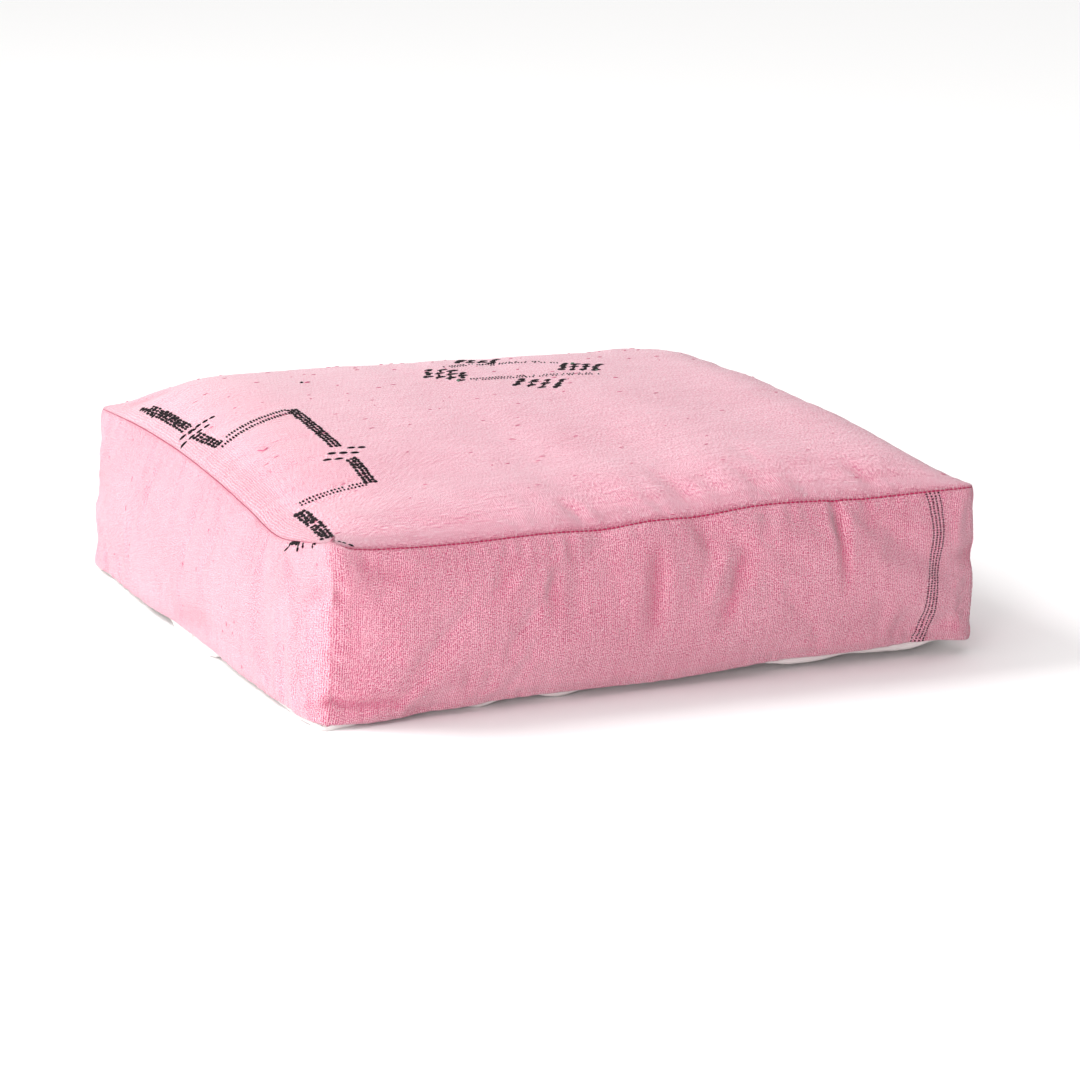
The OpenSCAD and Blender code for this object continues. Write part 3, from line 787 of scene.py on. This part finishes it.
class Panel:
    """One cloth panel. Its own coordinates are metres across and up the flat cloth. seams says
    which of its edges are sewn: left, right, bottom, top. inset is how far it lies inside the cover."""

    def __init__(self, part, seams=(True, True, True, True), inset=0.0):
        self.shape = SHAPES[part]
        self.inset = inset
        self.shift_grid = lattice_shift[lattice.parts[part]]
        self.normal_grid = lattice_normals[lattice.parts[part]]
        self.size = (WIDTH, SIDE_HEIGHT if part in SIDES else WIDTH)
        self.seams = seams
        upright = POST_DEPTH if part in SIDES else SEAM_DEPTH
        self.depths = (RIM_DEPTH,) * 4 if part == "top" else (upright, upright, SEAM_DEPTH, RIM_DEPTH)
        self.gather = PUCKER * (0.3 if part == "base" else 1.0)
        self.folds = []

    def shares(self, s, t):
        return np.clip(s / self.size[0], 0, 1), np.clip(t / self.size[1], 0, 1)

    def relief(self, s, t):
        """Height of the folds and of the gathers and the roll beside each seam."""
        width, height = self.size
        distances = (s, width - s, t, height - t)
        groove = np.zeros(np.shape(s))
        rise = np.zeros(np.shape(s))
        edges = zip(self.seams, distances, (t, t, s, s), self.depths)
        for phase, (has, d, along, depth) in enumerate(edges):
            if has:
                groove = np.maximum(groove, depth * np.exp(-((np.maximum(d, 0) / SEAM_WIDTH) ** 1.5)))
                gathers = self.gather * pucker(along, phase) * bump_at(d, 0.009, 0.006)
                rise = rise + (gathers + SEAM_ROLL * bump_at(d, 0.01, 0.006)) * depth / SEAM_DEPTH
        rise = rise - groove
        for fold in self.folds:
            rise = rise + fold(s, t)
        return rise

    def normal(self, s, t):
        normal = sample(self.normal_grid, *self.shares(s, t))
        return normal / np.linalg.norm(normal, axis=-1, keepdims=True)

    def place(self, s, t, lift=0.0):
        p, q = self.shares(s, t)
        surface = self.shape(p, q) + sample(self.shift_grid, p, q)
        placed = surface + self.normal(s, t) * (self.relief(s, t) + lift)[..., None]
        placed[..., 2] = np.maximum(placed[..., 2], 0)
        return drawn_in(placed, self.inset)


FOLD_DEPTH = 0.85
FOLD_WIDTH = 1.1


def fold(start, end, width, depth):
    """A ridge, or with a negative depth a valley, along a line on the flat cloth."""
    start, end = np.array(start), np.array(end)
    run = end - start
    length = np.linalg.norm(run)

    def height(s, t):
        x, y = s - start[0], t - start[1]
        along = (x * run[0] + y * run[1]) / length ** 2
        off = (x * run[1] - y * run[0]) / length
        ends = smooth(along, -0.2, 0.3) * smooth(1 - along, -0.2, 0.4)
        return FOLD_DEPTH * depth * ends * np.exp(-((off / (FOLD_WIDTH * width)) ** 2))

    return height


def spaced(length, step, crowd=(True, True)):
    """Places along a length: close together beside a seam and a step apart elsewhere."""
    near = np.array([0, 0.0006, 0.0013, 0.0022, 0.0034, 0.005, 0.007])
    first = near if crowd[0] else np.array([0.0])
    last = length - (near if crowd[1] else np.array([0.0]))[::-1]
    count = int(round((last[0] - first[-1]) / step))
    return np.concatenate([first, np.linspace(first[-1], last[0], count + 1)[1:-1], last])


# How far a seam edge turns in, and leans back under its panel as it does
LIP = 0.007
LIP_LEAN = 0.0006
STEP = 0.003
# How deep a valley must be to take the full painted shade
FULL_SHADE_DEPTH = 0.0055


def panel_parts(panel, step=STEP, flip=False):
    """Points, faces, flat places and painted hollow shade of the panel's cloth, its seam edges turned in.
    """
    s = spaced(panel.size[0], step, panel.seams[:2])
    t = spaced(panel.size[1], step, panel.seams[2:])
    ss, tt = np.meshgrid(s, t, indexing="ij")
    points = panel.place(ss, tt)
    normals = panel.normal(ss, tt)
    number = np.arange(ss.size).reshape(ss.shape)
    faces = [quads(number)]
    placed = [points.reshape(-1, 3)]
    uv = [np.stack([ss, tt], -1).reshape(-1, 2)]
    # The painted shade: how deep each point lies in a valley or groove
    hollow_shade = [np.clip(-panel.relief(ss, tt) / FULL_SHADE_DEPTH, 0, 1).ravel()]
    count = ss.size
    ahead, back = slice(None), slice(None, None, -1)
    edges = (
        ((0, back), (1, back)),
        ((-1, ahead), (-2, ahead)),
        ((ahead, 0), (ahead, 1)),
        ((back, -1), (back, -2)),
    )
    for has, (edge, inside) in zip(panel.seams, edges):
        if not has:
            continue
        ids = number[edge]
        towards = points[inside] - points[edge]
        towards = towards / np.maximum(np.linalg.norm(towards, axis=1, keepdims=True), 1e-9)
        placed.append(points[edge] - normals[edge] * LIP + towards * LIP_LEAN)
        uv.append(uv[0][ids])
        # The turned-in edges take the full painted shade
        hollow_shade.append(np.ones(len(ids)))
        new = count + np.arange(len(ids))
        faces.append(np.stack([ids[1:], ids[:-1], new[:-1], new[1:]], -1))
        count += len(ids)
    faces = np.concatenate(faces)
    faces = faces[:, ::-1] if flip else faces
    return np.concatenate(placed), faces, np.concatenate(uv), np.concatenate(hollow_shade)


def smooth_object(name, material, points, faces, uv=None, hollow_shade=None):
    mesh = new_mesh(name, points, faces)
    # Painted shade, stored on the points for the pink cloth's material
    if hollow_shade is not None:
        values = mesh.attributes.new(SHADE_ATTRIBUTE, "FLOAT", "POINT").data
        values.foreach_set("value", np.asarray(hollow_shade, np.float32))
    if uv is not None:
        layer = mesh.uv_layers.new(name=CLOTH_UV)
        loops = np.zeros(len(mesh.loops), np.int64)
        mesh.loops.foreach_get("vertex_index", loops)
        layer.data.foreach_set("uv", np.asarray(uv, np.float32)[loops].ravel())
    mesh.polygons.foreach_set("use_smooth", np.ones(len(mesh.polygons), bool))
    mesh.materials.append(material)
    return add_object(name, mesh)


def joined(parts):
    """One set of points and faces out of several, with any further arrays joined too."""
    points, faces, others, count = [], [], [], 0
    for part in parts:
        points.append(part[0])
        faces.append(part[1] + count)
        others.append(part[2:])
        count += len(part[0])
    return (np.concatenate(points), np.concatenate(faces), *(np.concatenate(o) for o in zip(*others)))


def finished(obj, slot, *replaced):
    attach(obj, "cover")
    if replaced:
        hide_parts(*replaced)


def soft_piece(name, material, parts, slot, replaced):
    piece = smooth_object(name, material, *parts)
    finished(piece, slot, replaced)


# Folds of the panels: start, end, width and depth
FRONT_FOLDS = (
    ((0.182, 0.134), (0.152, 0.096), 0.0055, 0.0022),
    ((0.172, 0.134), (0.14, 0.096), 0.006, -0.0016),
    ((0.188, 0.118), (0.185, 0.062), 0.0045, 0.0018),
    ((0.197, 0.128), (0.197, 0.07), 0.005, -0.0018),
    ((0.213, 0.143), (0.216, 0.118), 0.0045, -0.002),
    ((0.226, 0.14), (0.232, 0.095), 0.006, 0.0012),
    ((0.293, 0.125), (0.286, 0.05), 0.0075, -0.0038),
    ((0.31, 0.125), (0.304, 0.06), 0.007, 0.0016),
    ((0.328, 0.145), (0.346, 0.116), 0.005, -0.0024),
    ((0.362, 0.128), (0.337, 0.062), 0.0065, 0.0034),
    ((0.377, 0.118), (0.352, 0.046), 0.006, -0.0034),
    ((0.4, 0.146), (0.391, 0.118), 0.0045, -0.0018),
    ((0.464, 0.147), (0.468, 0.072), 0.0042, -0.0048),
    ((0.452, 0.148), (0.459, 0.11), 0.005, 0.002),
    ((0.477, 0.145), (0.473, 0.095), 0.0055, 0.0024),
    ((0.496, 0.149), (0.491, 0.12), 0.0045, -0.0014),
    ((-0.02, 0.019), (0.066, 0.023), 0.005, -0.004),
    ((-0.01, 0.011), (0.06, 0.014), 0.006, 0.0016),
    ((0.004, 0.11), (0.006, 0.095), 0.006, -0.003),
    ((0.018, 0.13), (0.006, 0.085), 0.006, 0.0026),
    ((0.014, 0.14), (0.07, 0.118), 0.008, -0.0022),
    ((0.572, 0.088), (0.625, 0.08), 0.011, -0.004),
    ((0.58, 0.13), (0.585, 0.06), 0.008, 0.002),
)
LEFT_FOLDS = (
    ((0.6, 0.11), (0.575, 0.1), 0.006, -0.0022),
    ((0.585, 0.017), (0.63, 0.019), 0.005, -0.004),
    ((0.36, 0.03), (0.25, 0.012), 0.01, -0.003),
    ((0.000, 0.085), (0.07, 0.095), 0.012, -0.0018),
    ((0.000, 0.06), (0.05, 0.05), 0.01, 0.0016),
)
RIGHT_FOLDS = (
    ((-0.02, 0.08), (0.08, 0.085), 0.011, -0.004),
    ((0.15, 0.14), (0.16, 0.07), 0.007, -0.003),
    ((0.33, 0.145), (0.32, 0.06), 0.008, -0.003),
    ((0.48, 0.14), (0.5, 0.06), 0.007, -0.0025),
)
BACK_FOLDS = (
    ((0.11, 0.145), (0.125, 0.07), 0.007, -0.003),
    ((0.29, 0.145), (0.28, 0.06), 0.008, -0.0035),
    ((0.43, 0.14), (0.445, 0.08), 0.007, -0.0025),
)
TOP_FOLDS = (
    ((0.236, 0.004), (0.224, 0.04), 0.005, -0.0022),
    ((0.246, 0.004), (0.24, 0.04), 0.005, 0.0014),
    ((0.338, 0.004), (0.325, 0.065), 0.008, -0.002),
    ((0.356, 0.004), (0.345, 0.06), 0.007, 0.0014),
    ((0.405, 0.004), (0.392, 0.06), 0.007, -0.0018),
    ((0.425, 0.004), (0.414, 0.06), 0.008, 0.0012),
    ((0.505, 0.004), (0.495, 0.05), 0.007, -0.0022),
    ((0.01, 0.56), (0.05, 0.52), 0.009, -0.003),
    ((0.56, 0.42), (0.6, 0.445), 0.011, -0.003),
)

top = Panel("top")
sides = {name: Panel(name) for name in SIDES}
top.folds = [fold(*f) for f in TOP_FOLDS]
for name, folds in zip(SIDES, (FRONT_FOLDS, RIGHT_FOLDS, BACK_FOLDS, LEFT_FOLDS)):
    sides[name].folds = [fold(*f) for f in folds]

soft_piece("top_cloth", PINK_TOP, panel_parts(top), "pink_weave", "top_panel")
for name, panel in sides.items():
    soft_piece("side_cloth_" + name, PINK, panel_parts(panel), "pink_weave", "side_panel_" + name)

# The base is two panels with the zip's slot between them
SLOT = 0.007
SLOT_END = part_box("zip_tape_front")[1].x
SLOT_TIP = 0.0002
SLOT_TAPER = 0.01
# Steps of the folded edge: away from the zip, and up into the cover
HEM = ((0.0004, 0.0016), (0.004, 0.0016), (0.01, 0.0013))


def slot_half(x):
    tip = np.clip((np.abs(x) - SLOT_END + SLOT_TAPER) / SLOT_TAPER, 0, 1)
    return SLOT + (SLOT_TIP - SLOT) * tip


def base_panel(front):
    panel = Panel("base", (True, True, front, not front))
    panel.folds = [base_roll]
    s = spaced(WIDTH, STEP, (True, True))
    t = spaced(HALF, STEP, (True, False))
    ss, tt = np.meshgrid(s, t, indexing="ij")
    tt = tt * (HALF - slot_half(ss - HALF)) / HALF
    return panel, ss, tt if front else WIDTH - tt


def base_parts(front):
    panel, ss, tt = base_panel(front)
    points, normals = panel.place(ss, tt), panel.normal(ss, tt)
    # The edge at the slot is folded over, up and away from the zip
    away = -1 if front else 1
    hem = [
        points[:, -1] - normals[:, -1] * drop + np.array((0, away * reach, 0)) for reach, drop in HEM
    ]
    lip = points[:, :1] - normals[:, :1] * LIP * 0.6
    points = np.concatenate([lip, points, np.stack(hem, 1)], 1)
    uv = np.pad(np.stack([ss, tt], -1), ((0, 0), (1, len(hem)), (0, 0)), mode="edge")
    number = np.arange(uv[..., 0].size).reshape(uv.shape[:2])
    faces = quads(number.T)
    return points.reshape(-1, 3), faces if front else faces[:, ::-1], uv.reshape(-1, 2)


for front in (True, False):
    name = "front" if front else "back"
    soft_piece("base_cloth_" + name, COTTON, base_parts(front), "white_cotton", "base_panel_" + name)

# ---------------------------------------------------------------- thread, sewn and woven in

RINGS = 5
ROUND = 6


def strands(panel, strokes):
    """Points and faces of short threads lying on a panel. Each stroke is its two ends, its width
    and how far it stands up."""
    strokes = np.array(strokes, float)
    start, run = strokes[:, None, 0:2], strokes[:, None, 2:4] - strokes[:, None, 0:2]
    width, rise = strokes[:, 4, None, None], strokes[:, 5, None, None]
    along = np.linspace(0, 1, RINGS)
    taper = np.maximum(1 - np.abs(2 * along - 1) ** 3, 0.2)[None, :, None] ** 0.6
    turn = np.arange(ROUND) * 2 * np.pi / ROUND
    centre = start + run * along[None, :, None]
    aside = np.concatenate([-run[..., 1:], run[..., :1]], -1)
    aside = aside / np.maximum(np.linalg.norm(aside, axis=-1, keepdims=True), 1e-9)
    off = width / 2 * taper * np.cos(turn)
    s = centre[..., 0:1] + aside[..., 0:1] * off
    t = centre[..., 1:2] + aside[..., 1:2] * off
    points = panel.place(s, t, rise * taper * np.sin(turn)).reshape(-1, 3)
    ring = np.arange(ROUND)
    ahead = (ring + 1) % ROUND
    belt = np.stack([ring, ahead, ROUND + ahead, ROUND + ring], -1)
    tube = [r * ROUND + belt for r in range(RINGS - 1)]
    half = ROUND // 2
    caps = []
    for base, order in ((0, -1), ((RINGS - 1) * ROUND, 1)):
        for i in range(half - 1):
            caps.append((base + np.array([i, i + 1, ROUND - 2 - i, ROUND - 1 - i]))[::order])
    one = np.concatenate([np.concatenate(tube), np.array(caps)])
    faces = (one[None] + (np.arange(len(strokes)) * RINGS * ROUND)[:, None, None]).reshape(-1, 4)
    return points, faces


def thread_object(name, parts, material, slot, *replaced):
    finished(smooth_object(name, material, *joined(parts)), slot, *replaced)


chance = np.random.default_rng(24)


def jitter(size):
    return chance.uniform(-size, size)


def seam_stitches(panel, edge, long=0.0036, pitch=0.0042, inset=0.0006, width=0.0009):
    """Stitches in the groove beside one edge of a panel: 0 left, 2 bottom, 3 top."""
    wide, high = panel.size
    length, turn = (high, -1) if edge == 0 else (wide, 1)
    off = high - inset if edge == 3 else inset
    places = np.arange(pitch, length - long, pitch)
    return strands(panel, [
        (*(a, off)[::turn], *(a + long, off)[::turn], width, width * 0.7) for a in places
    ])


# The top seam's stitches, dark and broad as painted shade of the groove as well as thread; narrower on the
# left, where the groove's shade is faint
thread_object(
    "top_seam_thread",
    [seam_stitches(panel, 3, width=0.0007 if name == "left" else 0.0016) for name, panel in sides.items()],
    SEAM_SHADE_THREAD, "pink_thread", "top_seam_stitching",
)
thread_object(
    "foot_seam_thread", [seam_stitches(panel, 2) for panel in sides.values()],
    WHITE_THREAD, "white_thread", "base_seam_stitching",
)
thread_object(
    "corner_seam_thread", [seam_stitches(panel, 0, width=0.0005) for panel in sides.values()],
    CLOTH_THREAD, "pink_thread", "corner_seam_stitching",
)

BLACK_RISE = 0.0009
BLOT = 0.0016


def band(line, width, columns=3, long=0.0056, gap=0.0007, ragged=0.0005, blot=0.12):
    """A thick woven band along a line of (across, along) places: columns of floats."""
    line = np.array(line)
    steps = np.linalg.norm(np.diff(line, axis=0), axis=1)
    reach = np.concatenate([[0], np.cumsum(steps)])
    strokes = []
    for column in range(columns):
        side = (column - (columns - 1) / 2) * width / columns
        place = chance.uniform(0, long)
        while place < reach[-1] - 0.002:
            size = long * chance.uniform(0.6, 1.3)
            end = min(place + size, reach[-1])
            thick = (width / columns - 0.0002) * chance.uniform(0.9, 1.15)
            if chance.uniform() < blot:
                thick += BLOT
            a = [np.interp(place, reach, line[:, i]) for i in (0, 1)]
            b = [np.interp(end, reach, line[:, i]) for i in (0, 1)]
            shift = side + jitter(ragged)
            rise = BLACK_RISE * chance.uniform(0.8, 1.2)
            strokes.append((a[0] + shift, a[1], b[0] + shift, b[1], thick, rise))
            place = end + gap * chance.uniform(0.3, 1.6)
    return strokes


def ladder(start, end, pitch=0.0031, bar=0.0054, gap=0.0012, skip=0.03, wide=0.0021):
    """A thin woven band: two rows of short bars that stand across it."""
    start, end = np.array(start), np.array(end)
    count = int(np.linalg.norm(end - start) / pitch)
    strokes = []
    for i in range(count + 1):
        s, t = start + (end - start) * i / count
        for row in (-1, 1):
            if chance.uniform() < skip:
                continue
            middle = t + row * (bar + gap) / 2 + jitter(0.0003)
            size = bar * chance.uniform(0.55, 1.0)
            a, b = s + jitter(0.0003), s + jitter(0.0003)
            thick = wide * chance.uniform(0.8, 1.1)
            strokes.append((a, middle - size / 2, b, middle + size / 2, thick, BLACK_RISE))
    return strokes


def dashes(start, end, count, width, lean=0.0):
    """A row of dashes. Each one leans off the row by lean."""
    start, end = np.array(start), np.array(end)
    strokes = []
    for i in range(count):
        a = start + (end - start) * (i + 0.08) / count
        b = start + (end - start) * (i + 0.88) / count
        thick = width * chance.uniform(0.85, 1.15)
        strokes.append((a[0], a[1] - lean, b[0], b[1] + lean, thick, BLACK_RISE))
    return strokes


# The zigzag runs along the left edge of the top, from the back
zigzag = (
    band([(0.01, 0.522), (0.0123, 0.5008)], 0.005, columns=1)
    + band(
        [(0.0127, 0.5086), (0.0142, 0.4521), (0.0145, 0.4067)],
        0.0098, columns=4, long=0.0075, blot=0.25,
    )
    + band([(0.0145, 0.3889), (0.0167, 0.3613), (0.0191, 0.3375)], 0.009, long=0.0065)
    + dashes((0.0043, 0.401), (0.0396, 0.3992), 5, 0.0042)
    + dashes((0.0008, 0.3898), (0.0298, 0.3883), 4, 0.0044)
    + dashes((0.0112, 0.398), (0.0197, 0.3979), 2, 0.0026)
    + ladder((0.0203, 0.3371), (0.0928, 0.3568), bar=0.0072, gap=0.003)
    + band([(0.0991, 0.3652), (0.0981, 0.3017), (0.0966, 0.2396)], 0.011)
    + band([(0.0975, 0.2095), (0.0957, 0.1756), (0.0929, 0.1432)], 0.0115)
    + dashes((0.1029, 0.2334), (0.1209, 0.2286), 2, 0.005, 0.0006)
    + dashes((0.0824, 0.2283), (0.1103, 0.2163), 3, 0.0052, 0.0006)
    + dashes((0.0737, 0.2166), (0.0928, 0.2094), 2, 0.0054, 0.0006)
    + ladder((0.0877, 0.1454), (0.0296, 0.1538), bar=0.0046)
    + band(
        [(0.0235, 0.1458), (0.0214, 0.1141), (0.0192, 0.093)],
        0.011, long=0.008, ragged=0.001, blot=0.45,
    )
    + band(
        [(0.0189, 0.091), (0.0163, 0.0637), (0.0105, 0.027)],
        0.012, long=0.005, gap=0.0012, ragged=0.0008,
    )
    + dashes((0.0139, 0.0123), (0.0201, 0.0067), 2, 0.0018)
    + dashes((0.0205, 0.0059), (0.0248, 0.0033), 1, 0.003)
)
thread_object("zigzag_floats", [strands(top, zigzag)], BLACK_THREAD, "black_thread", "zigzag_embroidery")


def comb(middle, lean, pitch, count=4, teeth=3):
    """A woven comb: slanting rows side by side, each with short teeth on its right."""
    middle, lean, pitch = np.array(middle), np.array(lean), np.array(pitch)
    strokes = []
    for i in range(count):
        centre = middle + pitch * (i - (count - 1) / 2) + jitter(0.0008)
        wide = (0.0054 if i in (0, count - 1) else 0.003) * chance.uniform(0.85, 1.15)
        for j in range(4):
            a, b = (centre + lean * ((j + end) / 4 - 0.5) for end in (0, 0.95))
            aside = 0.0016 * (j % 2) + jitter(0.001)
            strokes.append((a[0] + aside, a[1], b[0] + aside, b[1], wide, BLACK_RISE))
        for j in range(teeth):
            s, t = centre + lean * ((j + chance.uniform(0, 0.5)) / (teeth - 0.6) - 0.5)
            left, right = 0.0024 + jitter(0.0016), 0.007 + jitter(0.0024)
            thick = 0.0046 * chance.uniform(0.6, 1.2)
            strokes.append((s - left, t, s + right, t + 0.0016, thick, BLACK_RISE))
    return strokes


diamond = (
    comb((0.3464, 0.3719), (0.018, 0.026), (0.01, -0.0075))
    + comb((0.2765, 0.433), (0.014, 0.032), (0.0078, -0.0085))
    + comb((0.4105, 0.4235), (0.016, 0.028), (0.0096, -0.004))
    + comb((0.334, 0.496), (0.014, 0.022), (0.0112, -0.0002), teeth=2)
    + ladder((0.2904, 0.4047), (0.3472, 0.4048), bar=0.0044, skip=0.15, wide=0.0014)
    + ladder((0.3472, 0.4028), (0.4161, 0.3906), bar=0.004, skip=0.2, wide=0.0014)
    + ladder((0.2901, 0.4638), (0.3473, 0.4777), bar=0.0046, skip=0.3, wide=0.0012)
    + ladder((0.3494, 0.4758), (0.4, 0.4517), bar=0.0046, skip=0.35, wide=0.0012)
)
thread_object("diamond_floats", [strands(top, diamond)], BLACK_THREAD, "black_thread", "diamond_embroidery")

# Odd threads, as strands takes them
green = [
    (0.2796, 0.4031, 0.2816, 0.4091, 0.003, 0.001),
    (0.4112, 0.4408, 0.4148, 0.4449, 0.004, 0.0012),
    (0.4207, 0.4047, 0.4235, 0.4081, 0.003, 0.001),
]
thread_object("green_floats", [strands(top, green)], GREEN_THREAD, "green_thread", "green_knots")


def below_seam(back, down):
    """A place on the left panel, from the distance behind the near corner and below the seam."""
    return WIDTH - back, SIDE_HEIGHT - down


def cord_strokes(places, width):
    return [
        (*a, *b, width * chance.uniform(0.85, 1.15), BLACK_RISE) for a, b in zip(places[:-1], places[1:])
    ]


HOOKS = (
    (
        (0.094, 0.011), (0.0915, 0.006), (0.087, 0.003), (0.08, 0.0018), (0.072, 0.0016),
        (0.066, 0.0024), (0.064, 0.006), (0.063, 0.01),
    ),
    ((0.088, 0.006), (0.084, 0.004), (0.076, 0.0034), (0.07, 0.0036)),
    ((0.059, 0.002), (0.057, 0.0035), (0.0575, 0.0065)),
    ((0.0335, 0.0065), (0.0345, 0.0035), (0.0325, 0.0015), (0.029, 0.0014), (0.028, 0.0035)),
)
hooks = sum((cord_strokes([below_seam(*p) for p in line], 0.0028) for line in HOOKS), [])
hook_strands = strands(sides["left"], hooks)
thread_object("hook_floats", [hook_strands], BLACK_THREAD, "black_thread", "hook_embroidery")

# Four columns of dots up the front panel near its right end
STRIPE_LINE = (
    (0.005, 0.5475), (0.03, 0.5518), (0.05, 0.5518), (0.064, 0.552), (0.08, 0.556), (0.113, 0.56),
    (0.15, 0.558),
)
STRIPE_GAP = ((0.005, 0.0038), (0.08, 0.0031), (0.15, 0.0041))
stripe = []
for t in np.arange(0.004, SIDE_HEIGHT - 0.002, 0.0022):
    middle, gap = through(STRIPE_LINE, t), through(STRIPE_GAP, t)
    for column in range(4):
        s = middle + (column - 1.5) * gap + jitter(0.0002)
        size = 0.0018 + 0.0004 * t / SIDE_HEIGHT
        low = t + jitter(0.0003)
        stripe.append((s, low, s, low + 0.0013, size * chance.uniform(0.7, 1.1), BLACK_RISE * 0.7))
thread_object(
    "stripe_dots", [strands(sides["front"], stripe)], BLACK_THREAD, "black_thread", "dot_stripe_embroidery"
)

# ---------------------------------------------------------------- slubs, the thick places in the yarn

SLUB_EDGE = 0.012


def slubs(panel, count, long, wide, rise, crowd=None, upright=False):
    """Short loose threads along one way of the weave. crowd gives how likely a place is."""
    strokes = []
    while len(strokes) < count:
        s, t = (chance.uniform(SLUB_EDGE, size - SLUB_EDGE) for size in panel.size)
        if crowd and chance.uniform() > crowd(s, t):
            continue
        size, lean = chance.uniform(*long), jitter(0.18)
        run = (lean * size, size) if upright else (size, lean * size)
        thick = chance.uniform(*wide)
        strokes.append((s, t, s + run[0], t + run[1], thick, rise * chance.uniform(0.7, 1.2)))
    return strokes


def more_at_back_left(s, t):
    return 0.15 + 0.85 * (t / WIDTH) * (1 - 0.7 * s / WIDTH)


top_slubs = slubs(top, 150, (0.0015, 0.006), (0.0006, 0.0012), 0.0007, more_at_back_left)
top_slubs += [
    (0.0374, 0.2871, 0.0416, 0.2804, 0.0016, 0.0011),
    (0.0416, 0.2804, 0.0473, 0.2835, 0.0018, 0.0012),
    (0.1455, 0.4516, 0.1517, 0.4532, 0.0018, 0.0012),
]
deep = [
    strands(panel, slubs(panel, 22, (0.0015, 0.005), (0.0006, 0.0011), 0.0006, upright=True))
    for panel in sides.values()
]
thread_object("slub_threads", [strands(top, top_slubs), *deep], SLUB_THREAD, "pink_thread")
pale = [
    strands(panel, slubs(panel, 26, (0.001, 0.0035), (0.0006, 0.001), 0.0006))
    for panel in sides.values()
]
top_pale = strands(top, slubs(top, 60, (0.003, 0.009), (0.0006, 0.001), 0.0005))
thread_object("pale_slub_threads", [top_pale, *pale], PALE_SLUB, "pink_thread")
knot = [(0.1413, 0.4525, 0.1449, 0.4534, 0.0022, 0.0014)]
thread_object("black_knot", [strands(top, knot)], BLACK_THREAD, "black_thread")

# ---------------------------------------------------------------- the insert inside the cover

INSERT_INSET = 0.012
FILL_INSET = 0.015
INSERT_STEP = 0.006


def lump(s, t):
    """The lumps of loose fibre, on any panel."""
    wave = np.sin(s * 71 + 2 * np.sin(t * 47)) * np.sin(t * 83 + 2 * np.sin(s * 39))
    return 0.0008 * wave + 0.0004 * np.sin(s * 190 + 3 * t) * np.sin(t * 170)


def insert_panels(inset):
    return {part: Panel(part, inset=inset) for part in SHAPES}


def insert_parts(panels, names):
    return joined([panel_parts(panels[n], INSERT_STEP, flip=n == "base") for n in names])


casing = insert_panels(INSERT_INSET)
for name, names in (("casing_top", ["top"]), ("casing_bottom", ["base"]), ("gusset", list(SIDES))):
    name = "insert_" + name
    soft_piece(name + "_cloth", CASING, insert_parts(casing, names), "casing_cotton", name)
thread_object(
    "insert_thread", [seam_stitches(casing[n], edge, 0.005, 0.0075) for n in SIDES for edge in (2, 3)],
    WHITE_THREAD, "white_thread", "insert_stitching",
)
stuffing = insert_panels(FILL_INSET)
for panel in stuffing.values():
    panel.folds = [lump]
fibre = insert_parts(stuffing, [*SIDES, "top", "base"])
soft_piece("insert_fibre", FIBRE, fibre, "fibre_fill", "insert_fill")

# ---------------------------------------------------------------- the zip

zip_thread = []
for front, side in ((True, -1), (False, 1)):
    panel = base_panel(front)[0]
    zip_thread.append(strands(panel, [
        (s, HALF + side * 0.012, s + 0.004, HALF + side * 0.012, 0.0008, 0.0005)
        for s in np.arange(0.026, WIDTH - 0.03, 0.0062)
    ]))
thread_object("zip_thread", zip_thread, WHITE_THREAD, "white_thread", "zip_stitching")

ROUNDED = {
    "zip_teeth_front": (TEETH, 0.0003),
    "zip_teeth_back": (TEETH, 0.0003),
    "zip_top_stops": (TEETH, 0.0004),
    "zip_bottom_stop": (TEETH, 0.0004),
    "zip_slider_body": (METAL, 0.00035),
    "zip_pull_tab": (METAL, 0.0003),
}
for name, (material, radius) in ROUNDED.items():
    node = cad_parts[name]
    node.data.materials.clear()
    node.data.materials.append(material)
    bevel = node.modifiers.new("rounded", "BEVEL")
    bevel.width = radius
    bevel.segments = 2
    bevel.angle_limit = math.radians(40)
for name in ("zip_tape_front", "zip_tape_back"):
    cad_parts[name].data.materials.clear()
    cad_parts[name].data.materials.append(TAPE)
